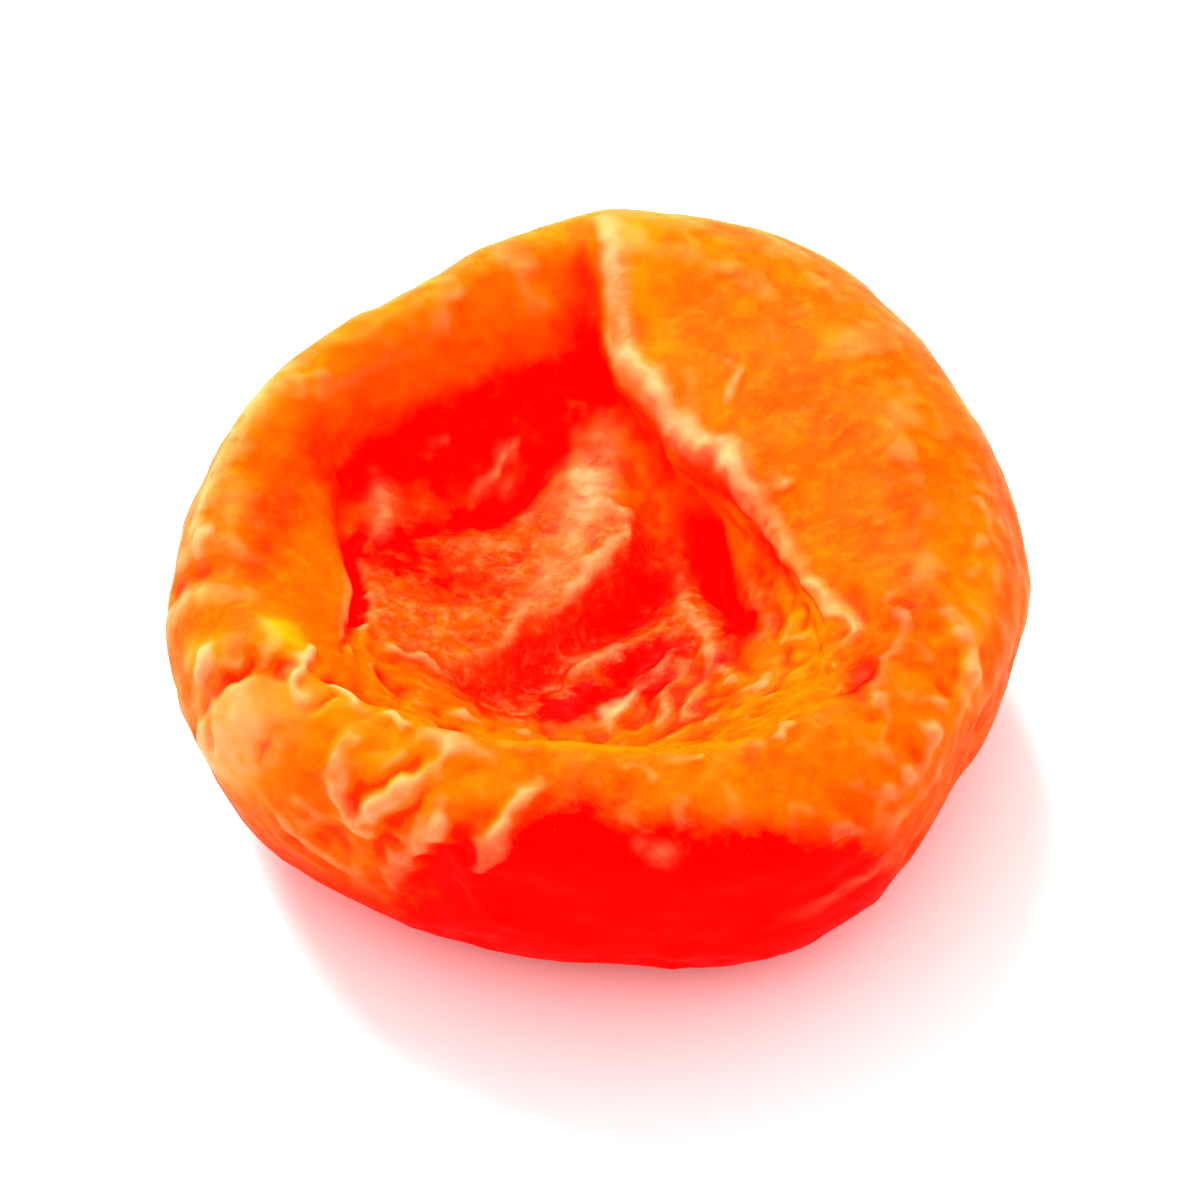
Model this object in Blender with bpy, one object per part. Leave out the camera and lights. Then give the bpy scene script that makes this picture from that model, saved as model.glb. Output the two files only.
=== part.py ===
"""Dried apricot: one whole pitted fruit with a pressed-in hollow, lying on its flattened underside.

The fruit is one closed body. Its skin runs from the middle of the hollow over the rim, down the side
and under to the middle of the base. A place on it is an azimuth (degrees from +X towards +Y) and a
station along the section there: 0 is the middle of the hollow, 1 the middle of the base.
Lengths below are in millimetres and become metres when the mesh is made.
"""
import math
from collections import namedtuple

import bmesh
import bpy
import numpy as np

MM = 0.001

# A fold: how far it spreads to the left and right of its line, seen along it from outside, and the line
# itself as (azimuth in degrees, station, height) points, where a crease has a height below 0
Fold = namedtuple("Fold", "left right route")

# Overall size
FRUIT_WIDTH = 33.0
FRUIT_DEPTH = 34.7
FRUIT_HEIGHT = 13.0

# Squares along each edge of the cube that is shaped into the fruit
CELLS = 30

# Outline seen from above, one value every 30 degrees from +X towards +Y
OUTLINE_RADIUS = (16.5, 16.8, 18.4, 17.8, 15.4, 15.5, 16.4, 17.0, 16.4, 16.5, 17.8, 16.4)
WIDEST_HEIGHT = (7.7, 7.3, 7.3, 7.3, 7.3, 7.3, 7.5, 8.1, 9.2, 9.9, 9.5, 8.6)

# Mouth of the hollow, measured from its own middle
HOLLOW_CENTRE = (-0.5, -1.6)
MOUTH_RADIUS = (9.0, 8.3, 8.8, 11.7, 11.3, 11.2, 9.3, 10.2, 10.6, 9.9, 10.7, 10.9)
MOUTH_HEIGHT = (10.6, 10.9, 10.9, 10.5, 10.4, 10.3, 10.3, 11.0, 11.8, 11.9, 11.4, 10.9)
FLOOR_MIDDLE = 6.9
# Rings of the hollow between its middle and its mouth: share of the mouth's radius, and heights
HOLLOW_RINGS = (
    (0.42, (6.9, 6.5, 6.6, 6.9, 7.0, 7.3, 7.4, 7.2, 6.9, 6.7, 6.8, 7.1)),
    (0.74, (8.3, 6.8, 6.2, 7.0, 7.0, 8.0, 8.4, 8.8, 8.6, 8.0, 8.8, 9.0)),
    (0.88, (9.4, 8.2, 7.4, 8.3, 8.4, 8.5, 8.9, 9.9, 10.1, 9.9, 10.1, 10.0)),
    (0.94, (10.1, 9.6, 9.2, 9.3, 9.4, 9.0, 9.3, 10.4, 10.9, 10.9, 10.8, 10.5)),
)

# Top of the rim, its place given as the share of the way from the mouth to the outline
RIM_HEIGHT = (12.3, 12.7, 12.8, 12.7, 12.7, 12.7, 12.5, 12.7, 12.5, 12.4, 12.4, 12.3)
RIM_SHARE = (0.50, 0.52, 0.52, 0.46, 0.44, 0.55, 0.64, 0.46, 0.28, 0.26, 0.30, 0.42)

# Flattened base with the small dimple of the blossom end
BASE_RADIUS = 6.3
BASE_SINK = 0.14
DIMPLE_RADIUS = 2.2
DIMPLE_EDGE_HEIGHT = 0.23
DIMPLE_DEPTH = 1.1

# The section's other rings: at the shoulder as a share of the rim's drop, and under the widest place as
# shares of the outline's radius and of the widest place's height
SHOULDER_RISE = 0.72
UNDER_RINGS = ((1.0, 1.0), (0.90, 0.34), (0.68, 0.03))
STATIONS = (0.0, 0.09, 0.155, 0.20, 0.25, 0.30, 0.38, 0.465, 0.54, 0.64, 0.75, 0.84, 0.94, 1.0)
MOUTH_STATION = 0.27
HEEL_STATION = 0.80

# Folds and creases of the rim and side
FOLDS = {
    "flap edge": Fold(3.0, 0.9, ((88, 0.46, 0.1), (87.5, 0.40, 0.25), (87, 0.365, 0.4), (86.5, 0.325, 0.55),
                                 (84.5, 0.30, 0.65), (80, 0.283, 0.75), (70, 0.28, 0.8), (60, 0.263, 0.8),
                                 (48.5, 0.27, 0.75), (40, 0.283, 0.7), (29.5, 0.27, 0.6), (20, 0.262, 0.55),
                                 (8, 0.266, 0.5), (-1, 0.266, 0.4), (-10, 0.275, 0.3), (-16, 0.30, 0.15))),
    "shade beside the flap": Fold(0.8, 1.9, ((92, 0.44, 0.0), (91.5, 0.40, -0.15), (91, 0.36, -0.35),
                                             (90.5, 0.325, -0.5), (89, 0.30, -0.5), (86, 0.275, -0.35))),
    "left bulge": Fold(1.8, 1.8, ((214, 0.52, 0.35), (217, 0.48, 0.45))),
    "left end crease": Fold(0.8, 0.8, ((192, 0.36, -0.1), (190.5, 0.40, -0.3), (189.5, 0.44, -0.35),
                                       (187.5, 0.49, -0.25))),
    "near rim edge": Fold(0.9, 0.9, ((236, 0.37, 0.1), (246, 0.38, 0.25), (256, 0.385, 0.15))),
    "crease over the bulge": Fold(0.7, 0.7, ((206, 0.54, -0.15), (207.5, 0.52, -0.3), (209.5, 0.46, -0.3),
                                             (209, 0.415, -0.1))),
    "low left ridge": Fold(0.7, 0.7, ((246, 0.385, 0.1), (243, 0.445, 0.2), (238, 0.505, 0.35),
                                      (236.5, 0.525, 0.2))),
    "low left crease": Fold(0.7, 0.7, ((244.5, 0.46, -0.2), (243, 0.495, -0.35), (241, 0.53, -0.35),
                                       (239.5, 0.555, -0.2))),
    "low middle ridge": Fold(0.7, 0.7, ((261, 0.42, 0.15), (257, 0.485, 0.3), (253.5, 0.55, 0.25))),
    "right ridge": Fold(0.8, 0.8, ((340, 0.43, 0.1), (335, 0.477, 0.25), (327.5, 0.488, 0.15))),
    "right rim pit": Fold(0.7, 0.7, ((326, 0.34, -0.2), (320, 0.365, -0.2))),
}
# Folds of the hollow's floor, with (x, y, height) points instead, seen from above
FLOOR_FOLDS = {
    "tongue": Fold(0.8, 2.2, ((0.2, 7.4, 0.3), (0.5, 6.2, 0.5), (0.75, 5.2, 0.6), (1.05, 4.3, 0.65),
                              (0.9, 3.3, 0.65), (0.4, 2.1, 0.65), (-0.2, 1.2, 0.65), (-0.8, 0.2, 0.6),
                              (-1.4, -0.7, 0.5), (-2.3, -1.5, 0.4), (-3.3, -2.3, 0.35), (-4.2, -3.0, 0.2))),
    "far foot of the tongue": Fold(0.7, 0.7, ((-1.5, 7.9, -0.2), (-2.2, 6.4, -0.4), (-2.6, 5.2, -0.4),
                                              (-3.3, 4.2, -0.1))),
    "groove": Fold(1.2, 0.8, ((3.0, 3.0, -0.3), (2.6, 2.1, -0.8), (1.8, 1.1, -1.0), (0.9, 0.0, -1.0),
                              (-0.2, -1.0, -0.9), (-1.6, -2.2, -0.8), (-2.4, -3.3, -0.8), (-3.6, -4.4, -0.5),
                              (-4.6, -5.0, -0.3))),
    "slit": Fold(0.9, 0.9, ((2.8, 4.9, -0.3), (3.3, 3.9, -0.6), (3.8, 2.6, -0.7), (4.2, 1.2, -0.7),
                            (4.6, 0.0, -0.6), (5.0, -1.6, -0.3))),
    "middle fold": Fold(0.5, 0.5, ((3.1, 3.0, 0.1), (3.3, 0.2, 0.3), (3.6, -1.0, 0.4), (4.4, -3.8, 0.2))),
}
FLOOR_EDGE = (0.25, 0.30)
ROUTE_POINTS = 40
SMOOTHING_PASSES = 1

# Skin colour and finish
SKIN_COLOUR = (0.95, 0.16, 0.01, 1.0)
SKIN_ROUGHNESS = 0.42


def around(values, azimuth):
    """A smooth closed curve through values spaced evenly around the fruit, read at azimuth (radians)."""
    ring = np.asarray(values)
    place = np.mod(azimuth / math.tau, 1.0) * len(ring)
    step = np.floor(place).astype(int)
    f = place - step
    before, here, after, beyond = (ring[(step + k) % len(ring)] for k in (-1, 0, 1, 2))
    return 0.5 * (2 * here + (after - before) * f
                  + (2 * before - 5 * here + 4 * after - beyond) * f ** 2
                  + (3 * here - before - 3 * after + beyond) * f ** 3)


def section_rings(azimuth):
    """Points of the named rings at each azimuth: one (n, 3) array a ring, hollow first, base last."""
    outline = around(OUTLINE_RADIUS, azimuth)
    mouth = around(MOUTH_RADIUS, azimuth)
    mouth_height = around(MOUTH_HEIGHT, azimuth)
    rim_height = around(RIM_HEIGHT, azimuth)
    widest = around(WIDEST_HEIGHT, azimuth)
    direction = np.stack([np.cos(azimuth), np.sin(azimuth)], axis=1)
    hollow = np.array(HOLLOW_CENTRE)

    def ring(xy, z):
        return np.column_stack([xy, np.broadcast_to(z, azimuth.shape)])

    lip = hollow + direction * mouth[:, None]
    side = direction * outline[:, None]
    share = around(RIM_SHARE, azimuth)[:, None]
    crest = lip + (side - lip) * share
    shoulder = crest + (side - crest) * SHOULDER_RISE
    inside = [ring(hollow + direction * 0.0, FLOOR_MIDDLE)]
    inside += [ring(hollow + (lip - hollow) * out, around(heights, azimuth)) for out, heights in HOLLOW_RINGS]
    rim = [ring(lip, mouth_height), ring(crest, rim_height),
           ring(shoulder, widest + SHOULDER_RISE * (rim_height - widest))]
    outside = [ring(side * out, up * widest) for out, up in UNDER_RINGS]
    base = [ring(direction * BASE_RADIUS, -BASE_SINK), ring(direction * DIMPLE_RADIUS, DIMPLE_EDGE_HEIGHT),
            ring(direction * 0.0, DIMPLE_DEPTH)]
    return inside + rim + outside + base


def surface(azimuth, station):
    """Points of the smooth fruit, before its folds, at each azimuth (radians) and station."""
    rings = np.stack(section_rings(azimuth))
    t = np.array(STATIONS)
    slope = np.empty_like(rings)
    slope[1:-1] = (rings[2:] - rings[:-2]) / (t[2:] - t[:-2])[:, None, None]
    slope[0] = (rings[1] - rings[0]) / (t[1] - t[0])
    slope[-1] = (rings[-1] - rings[-2]) / (t[-1] - t[-2])
    slope[0, :, 2] = 0.0
    slope[-1, :, 2] = 0.0
    k = np.clip(np.searchsorted(t, station, side="right") - 1, 0, len(t) - 2)
    n = np.arange(len(azimuth))
    span = (t[k + 1] - t[k])[:, None]
    f = (station - t[k])[:, None] / span
    return (rings[k, n] * (1 + 2 * f) * (1 - f) ** 2 + slope[k, n] * span * f * (1 - f) ** 2
            + rings[k + 1, n] * f ** 2 * (3 - 2 * f) - slope[k + 1, n] * span * f ** 2 * (1 - f))


def soft_step(values, start, end):
    """0 before start, 1 after end, and smooth between them."""
    f = np.clip((values - start) / (end - start), 0, 1)
    return f * f * (3 - 2 * f)


def follow(fold):
    """A fold's line and height, cut into short steps."""
    first, second, height = (np.array(column, dtype=float) for column in zip(*fold.route))
    fine = np.linspace(0, len(height) - 1, ROUTE_POINTS)
    return (np.interp(fine, np.arange(len(height)), column) for column in (first, second, height))


def lift_along(points, normals, line, height, fold):
    """How far each point moves out along its normal for one fold that follows line."""
    nearest = np.full(len(points), np.inf)
    lift = np.zeros(len(points))
    for start, end, low, high in zip(line[:-1], line[1:], height[:-1], height[1:]):
        run = end - start
        f = np.clip((points - start) @ run / max(run @ run, 1e-9), 0, 1)
        gap = points - start - f[:, None] * run
        distance = np.linalg.norm(gap, axis=1)
        on_left = np.einsum("nc,nc->n", np.cross(run, gap), normals) > 0
        width = np.where(on_left, fold.left, fold.right)
        here = (low + (high - low) * f) * np.exp(-(distance / width) ** 2)
        lift = np.where(distance < nearest, here, lift)
        nearest = np.minimum(nearest, distance)
    return lift


def fold_lift(points, normals, folds):
    """The lift of all folds that are given by azimuth and station."""
    total = np.zeros(len(points))
    for fold in folds.values():
        azimuth, station, height = follow(fold)
        total += lift_along(points, normals, surface(np.radians(azimuth), station), height, fold)
    return total


def floor_lift(points, station, folds):
    """The lift of all folds of the hollow's floor, given from above."""
    flat = points * (1, 1, 0)
    up = np.broadcast_to((0.0, 0.0, 1.0), points.shape)
    total = np.zeros(len(points))
    for fold in folds.values():
        x, y, height = follow(fold)
        total += lift_along(flat, up, np.column_stack([x, y, np.zeros_like(x)]), height, fold)
    return total * (1 - soft_step(station, *FLOOR_EDGE))


def squared_block(cells):
    """A cube from -1 to 1 cut into even squares."""
    bm = bmesh.new()
    bmesh.ops.create_cube(bm, size=2.0)
    bmesh.ops.subdivide_edges(bm, edges=bm.edges[:], cuts=cells - 1, use_grid_fill=True)
    return bm


def block_to_skin(corners):
    """Azimuth and station of the cube's points: its squares around +Z and -Z become rings."""
    x, y, z = corners.T
    reach = np.maximum(np.abs(x), np.abs(y))
    safe = np.where(reach > 0, reach, 1.0)
    along_x = np.abs(x) >= np.abs(y)
    turn = np.where(along_x, y * np.sign(x), -x * np.sign(y)) / safe * (math.pi / 4)
    quarter = np.where(along_x, np.where(x < 0, math.pi, 0), np.where(y < 0, -math.pi / 2, math.pi / 2))
    side = MOUTH_STATION + (1 - z) / 2 * (HEEL_STATION - MOUTH_STATION)
    station = np.where(z > 0.9999, MOUTH_STATION * reach, side)
    station = np.where(z < -0.9999, 1 - (1 - HEEL_STATION) * reach, station)
    return turn + quarter, station


def place(bm, points):
    """Moves the vertices to points and returns their normals."""
    for vert, point in zip(bm.verts, points):
        vert.co = point
    bm.normal_update()
    return np.array([vert.normal for vert in bm.verts])


def shape_fruit(bm):
    """Turns the block into the fruit: section, folds, flat base and exact overall size."""
    azimuth, station = block_to_skin(np.array([vert.co for vert in bm.verts]))
    points = surface(azimuth, station)
    normals = place(bm, points)
    lift = fold_lift(points, normals, FOLDS) + floor_lift(points, station, FLOOR_FOLDS)
    place(bm, points + normals * lift[:, None])
    for _ in range(SMOOTHING_PASSES):
        bmesh.ops.smooth_vert(bm, verts=bm.verts[:], factor=0.5, use_axis_x=True, use_axis_y=True,
                              use_axis_z=True)
    points = np.array([vert.co for vert in bm.verts])
    points[:, 2] = np.maximum(points[:, 2], 0.0)
    low, high = points.min(axis=0), points.max(axis=0)
    middle = (low + high) / 2
    size = np.array([FRUIT_WIDTH, FRUIT_DEPTH, FRUIT_HEIGHT])
    points = (points - [middle[0], middle[1], low[2]]) * size / (high - low)
    place(bm, points * MM)


def skin_material():
    """Translucent orange skin with a soft waxy shine."""
    material = bpy.data.materials.new("apricot_skin")
    material.use_nodes = True
    skin = material.node_tree.nodes["Principled BSDF"]
    skin.inputs["Base Color"].default_value = SKIN_COLOUR
    skin.inputs["Roughness"].default_value = SKIN_ROUGHNESS
    return material


def build_apricot():
    """The dried apricot, one closed body standing on its flat base at the origin."""
    bm = squared_block(CELLS)
    shape_fruit(bm)
    mesh = bpy.data.meshes.new("dried_apricot")
    bm.to_mesh(mesh)
    bm.free()
    mesh.shade_smooth()
    mesh.materials.append(skin_material())
    apricot = bpy.data.objects.new("dried_apricot", mesh)
    bpy.context.scene.collection.objects.link(apricot)
    return apricot


def main():
    """Empties the scene and builds the fruit."""
    for old in list(bpy.data.objects):
        bpy.data.objects.remove(old, do_unlink=True)
    build_apricot()


main()
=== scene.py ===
"""Looks of a dried apricot: one whole pitted fruit lying on its flattened underside.

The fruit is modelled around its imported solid. A cube is cut into squares and shaped into the same
section as the solid: over the hollow's floor, its wall, the rim, the side and the underside. Then the
skin is grown: every link between neighbouring points gets a little longer than the flesh below allows,
so it buckles into wrinkles as a drying skin does. Lengths in the shape are in millimetres.
"""
import math
from collections import namedtuple

import bmesh
import bpy
import numpy as np
from bpy.props import FloatProperty, FloatVectorProperty, IntProperty, PointerProperty
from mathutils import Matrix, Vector, noise
from mathutils.bvhtree import BVHTree


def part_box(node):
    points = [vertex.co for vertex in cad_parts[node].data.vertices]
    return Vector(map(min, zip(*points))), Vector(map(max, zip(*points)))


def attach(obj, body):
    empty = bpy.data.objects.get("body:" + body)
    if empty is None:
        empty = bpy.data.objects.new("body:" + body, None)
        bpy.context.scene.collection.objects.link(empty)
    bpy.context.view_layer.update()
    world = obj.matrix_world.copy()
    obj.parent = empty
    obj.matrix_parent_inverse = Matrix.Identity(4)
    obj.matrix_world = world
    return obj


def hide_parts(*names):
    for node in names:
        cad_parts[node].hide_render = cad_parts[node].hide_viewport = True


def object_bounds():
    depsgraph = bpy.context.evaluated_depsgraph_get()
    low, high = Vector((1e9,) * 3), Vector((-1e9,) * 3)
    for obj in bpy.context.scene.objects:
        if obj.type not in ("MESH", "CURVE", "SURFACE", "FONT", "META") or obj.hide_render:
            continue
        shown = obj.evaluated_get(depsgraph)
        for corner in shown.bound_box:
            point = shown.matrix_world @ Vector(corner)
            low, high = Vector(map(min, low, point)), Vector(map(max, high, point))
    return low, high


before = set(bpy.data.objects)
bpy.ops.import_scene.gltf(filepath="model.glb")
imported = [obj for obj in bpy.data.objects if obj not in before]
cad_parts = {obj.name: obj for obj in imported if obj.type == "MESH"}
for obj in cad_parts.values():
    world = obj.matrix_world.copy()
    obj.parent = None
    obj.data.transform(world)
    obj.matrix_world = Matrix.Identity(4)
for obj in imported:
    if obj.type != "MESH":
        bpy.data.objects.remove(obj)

bl_info = {
    "name": "Dried apricot",
    "version": (1, 0, 0),
    "blender": (4, 5, 0),
    "location": "View3D > Sidebar > Apricot",
    "description": "Models a whole pitted dried apricot and its stage",
    "category": "Object",
}

NODE = "dried_apricot"
CAD_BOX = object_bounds()
MM = 0.001

# A fold: how far it spreads to the left and right of its line, seen along it from outside, and the line
# itself as (azimuth in degrees, station, height) points, where a crease has a height below 0
Fold = namedtuple("Fold", "left right route")

# Outline seen from above, one value every 30 degrees from +X towards +Y
OUTLINE_RADIUS = (16.5, 16.8, 18.4, 17.8, 15.4, 15.5, 16.4, 17.0, 16.4, 16.5, 17.8, 16.4)
WIDEST_HEIGHT = (7.7, 7.3, 7.3, 7.3, 7.3, 7.3, 7.5, 8.1, 9.2, 9.9, 9.5, 8.6)

# Mouth of the hollow, measured from its own middle
HOLLOW_CENTRE = (-0.5, -1.6)
MOUTH_RADIUS = (9.0, 8.3, 8.8, 11.7, 11.3, 11.2, 9.3, 10.2, 10.6, 9.9, 10.7, 10.9)
MOUTH_HEIGHT = (10.6, 10.9, 10.9, 10.5, 10.4, 10.3, 10.3, 11.0, 11.8, 11.9, 11.4, 10.9)
FLOOR_MIDDLE = 6.9
# Rings of the hollow between its middle and its mouth: share of the mouth's radius, and heights
HOLLOW_RINGS = (
    (0.42, (6.9, 6.5, 6.6, 6.9, 7.0, 7.3, 7.4, 7.2, 6.9, 6.7, 6.8, 7.1)),
    (0.74, (8.3, 6.8, 6.2, 7.0, 7.0, 8.0, 8.4, 8.8, 8.6, 8.0, 8.8, 9.0)),
    (0.88, (9.4, 8.2, 7.4, 8.3, 8.4, 8.5, 8.9, 9.9, 10.1, 9.9, 10.1, 10.0)),
    (0.94, (10.1, 9.6, 9.2, 9.3, 9.4, 9.0, 9.3, 10.4, 10.9, 10.9, 10.8, 10.5)),
)

# Top of the rim, its place given as the share of the way from the mouth to the outline
RIM_HEIGHT = (12.3, 12.7, 12.8, 12.7, 12.7, 12.7, 12.5, 12.7, 12.5, 12.4, 12.4, 12.3)
RIM_SHARE = (0.50, 0.52, 0.52, 0.46, 0.44, 0.55, 0.64, 0.46, 0.28, 0.26, 0.30, 0.42)

# Flattened base with the small dimple of the blossom end
BASE_RADIUS = 6.3
BASE_SINK = 0.14
DIMPLE_RADIUS = 2.2
DIMPLE_EDGE_HEIGHT = 0.23
DIMPLE_DEPTH = 1.1

# The section's other rings: at the shoulder as a share of the rim's drop, and under the widest place as
# shares of the outline's radius and of the widest place's height
SHOULDER_RISE = 0.72
UNDER_RINGS = ((1.0, 1.0), (0.90, 0.34), (0.68, 0.03))
# Station of each ring, in the order of section_rings
STATIONS = (0.0, 0.09, 0.155, 0.20, 0.25, 0.30, 0.38, 0.465, 0.54, 0.64, 0.75, 0.84, 0.94, 1.0)
# Stations of the top and bottom edges of the block that is shaped into the fruit
MOUTH_STATION = 0.27
HEEL_STATION = 0.80

# Folds wide enough for the first, coarser skin
BROAD_FOLDS = {
    "flap edge": Fold(3.2, 0.8, ((88, 0.46, 0.1), (87.5, 0.4, 0.25), (87.2, 0.365, 0.4), (86.5, 0.325, 0.55),
        (84.5, 0.3, 0.65), (80, 0.283, 0.75), (70, 0.28, 0.8), (60, 0.263, 0.8), (48.5, 0.27, 0.75),
        (40, 0.283, 0.7), (29.5, 0.27, 0.55), (20, 0.262, 0.45), (8, 0.266, 0.35), (-1, 0.266, 0.25),
        (-10, 0.275, 0.18), (-16, 0.3, 0.1))),
    "shade beside the flap": Fold(0.6, 1.9, ((91.7, 0.44, 0.0), (91.3, 0.4, -0.15), (90.8, 0.36, -0.35),
        (90.3, 0.325, -0.5), (89, 0.3, -0.5), (86, 0.275, -0.35))),
    "left bulge": Fold(1.8, 1.8, ((214, 0.52, 0.35), (217, 0.48, 0.45))),
    "left end crease": Fold(0.7, 0.7, ((192, 0.36, -0.1), (190.5, 0.4, -0.3), (189.5, 0.44, -0.35),
        (187.5, 0.49, -0.25))),
    "near rim edge": Fold(0.9, 0.9, ((236, 0.37, 0.1), (246, 0.38, 0.25), (256, 0.385, 0.15))),
    "flap lip": Fold(1.0, 0.9, ((73, 0.25, 0.1), (64, 0.24, 0.45), (54, 0.238, 0.6), (44, 0.24, 0.6),
        (34, 0.24, 0.5), (24, 0.238, 0.35), (10, 0.24, 0.15))),
    "second pleat": Fold(0.9, 0.9, ((216, 0.36, -0.15), (219, 0.335, -0.45), (220, 0.3, -0.4),
        (219, 0.26, -0.1))),
}

# Folds of the hollow's floor, with (x, y, height) points
FLOOR_FOLDS = {
    "tongue": Fold(0.8, 2.2, ((0.2, 7.4, 0.3), (0.5, 6.2, 0.5), (0.75, 5.2, 0.6), (1.05, 4.3, 0.65),
        (0.9, 3.3, 0.65), (0.4, 2.1, 0.65), (-0.2, 1.2, 0.65), (-0.8, 0.2, 0.6), (-1.4, -0.7, 0.5),
        (-2.3, -1.5, 0.4), (-3.3, -2.3, 0.35), (-4.2, -3.0, 0.2))),
    "far foot of the tongue": Fold(0.5, 0.6, ((-1.5, 7.9, -0.2), (-2.3, 6.5, -0.5), (-3.0, 5.6, -0.5),
        (-4.2, 4.7, -0.3), (-5.6, 3.9, -0.25), (-7.2, 2.8, -0.15))),
    "groove": Fold(1.2, 0.8, ((3.0, 3.0, -0.3), (2.6, 2.1, -0.8), (1.8, 1.1, -1.0), (0.9, 0.0, -1.0),
        (-0.2, -1.0, -0.9), (-1.6, -2.2, -0.8), (-2.4, -3.3, -0.8), (-3.6, -4.4, -0.5),
        (-4.6, -5.0, -0.3))),
    "slit": Fold(0.55, 0.45, ((3.3, 5.0, -0.3), (3.6, 4.3, -0.8), (4.0, 3.5, -1.1), (4.35, 2.4, -1.2),
        (4.6, 1.1, -1.2), (4.9, -0.2, -1.0), (5.3, -2.0, -0.6))),
    "middle fold": Fold(0.45, 0.4, ((3.1, 3.0, 0.1), (3.3, 1.5, 0.25), (3.3, 0.2, 0.3), (3.6, -1.0, 0.3),
        (4.2, -2.2, 0.2), (4.4, -3.8, 0.2))),
    "foot of the flap": Fold(0.5, 0.5, ((1.2, 8.2, -0.2), (2.2, 7.0, -0.3), (2.8, 6.2, -0.3))),
}

# Finer folds of the floor, made with the fine folds below
FLOOR_CREASES = {
    "tongue's crest": Fold(0.3, 0.6, ((0.3, 5.0, 0.08), (0.9, 4.6, 0.12), (1.0, 4.0, 0.06), (0.7, 3.1, 0.12),
        (0.3, 2.2, 0.08), (-0.2, 1.3, 0.12), (-0.8, 0.5, 0.15), (-1.1, 0.0, 0.05))),
    "first crumple": Fold(0.3, 0.35, ((0.6, -6.2, 0.05), (0.7, -5.4, 0.16), (1.3, -4.5, 0.1),
        (1.9, -3.8, 0.1))),
    "second crumple": Fold(0.25, 0.3, ((2.3, -6.9, 0.05), (2.7, -5.6, 0.16), (2.9, -4.5, 0.08),
        (3.2, -3.4, 0.12))),
    "third crumple": Fold(0.25, 0.25, ((3.4, -6.5, 0.1), (3.9, -5.2, 0.15), (4.2, -4.3, 0.1))),
    "fourth crumple": Fold(0.2, 0.2, ((1.5, -5.2, 0.1), (2.2, -4.2, 0.15), (2.6, -3.2, 0.2),
        (3.1, -2.4, 0.15))),
    "fifth crumple": Fold(0.25, 0.25, ((1.6, -2.0, 0.02), (2.4, -1.8, 0.04), (3.2, -1.3, 0.02))),
    "sixth crumple": Fold(0.2, 0.2, ((4.9, -5.5, 0.08), (4.7, -4.4, 0.12), (4.9, -3.4, 0.08))),
    "seventh crumple": Fold(0.45, 0.45, ((-0.7, -2.9, 0.15), (0.1, -2.7, 0.25), (0.7, -2.2, 0.15))),
    "first gap": Fold(0.2, 0.2, ((1.1, -2.7, -0.1), (1.7, -2.95, -0.12), (2.3, -2.9, -0.1))),
    "second gap": Fold(0.25, 0.25, ((0.1, -4.6, -0.25), (0.9, -3.9, -0.25), (1.6, -3.3, -0.2))),
    "third gap": Fold(0.2, 0.2, ((2.0, -4.9, -0.2), (2.5, -4.1, -0.15))),
    "fourth gap": Fold(0.2, 0.2, ((1.5, -6.3, -0.2), (1.9, -5.7, -0.15))),
    "wall ridge": Fold(0.3, 0.3, ((-4.9, 5.4, 0.1), (-4.4, 6.1, 0.2), (-3.9, 7.0, 0.25), (-3.2, 7.6, 0.2))),
    "left step": Fold(0.5, 0.4, ((-8.6, 4.7, 0.15), (-8.2, 3.6, 0.2), (-8.1, 2.4, 0.1))),
    "low spur": Fold(0.3, 0.3, ((-2.8, -0.4, 0.1), (-3.4, -1.5, 0.15), (-3.7, -2.4, 0.1))),
}
# Stations between which the floor's folds fade out
FLOOR_EDGE = (0.25, 0.30)

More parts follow.
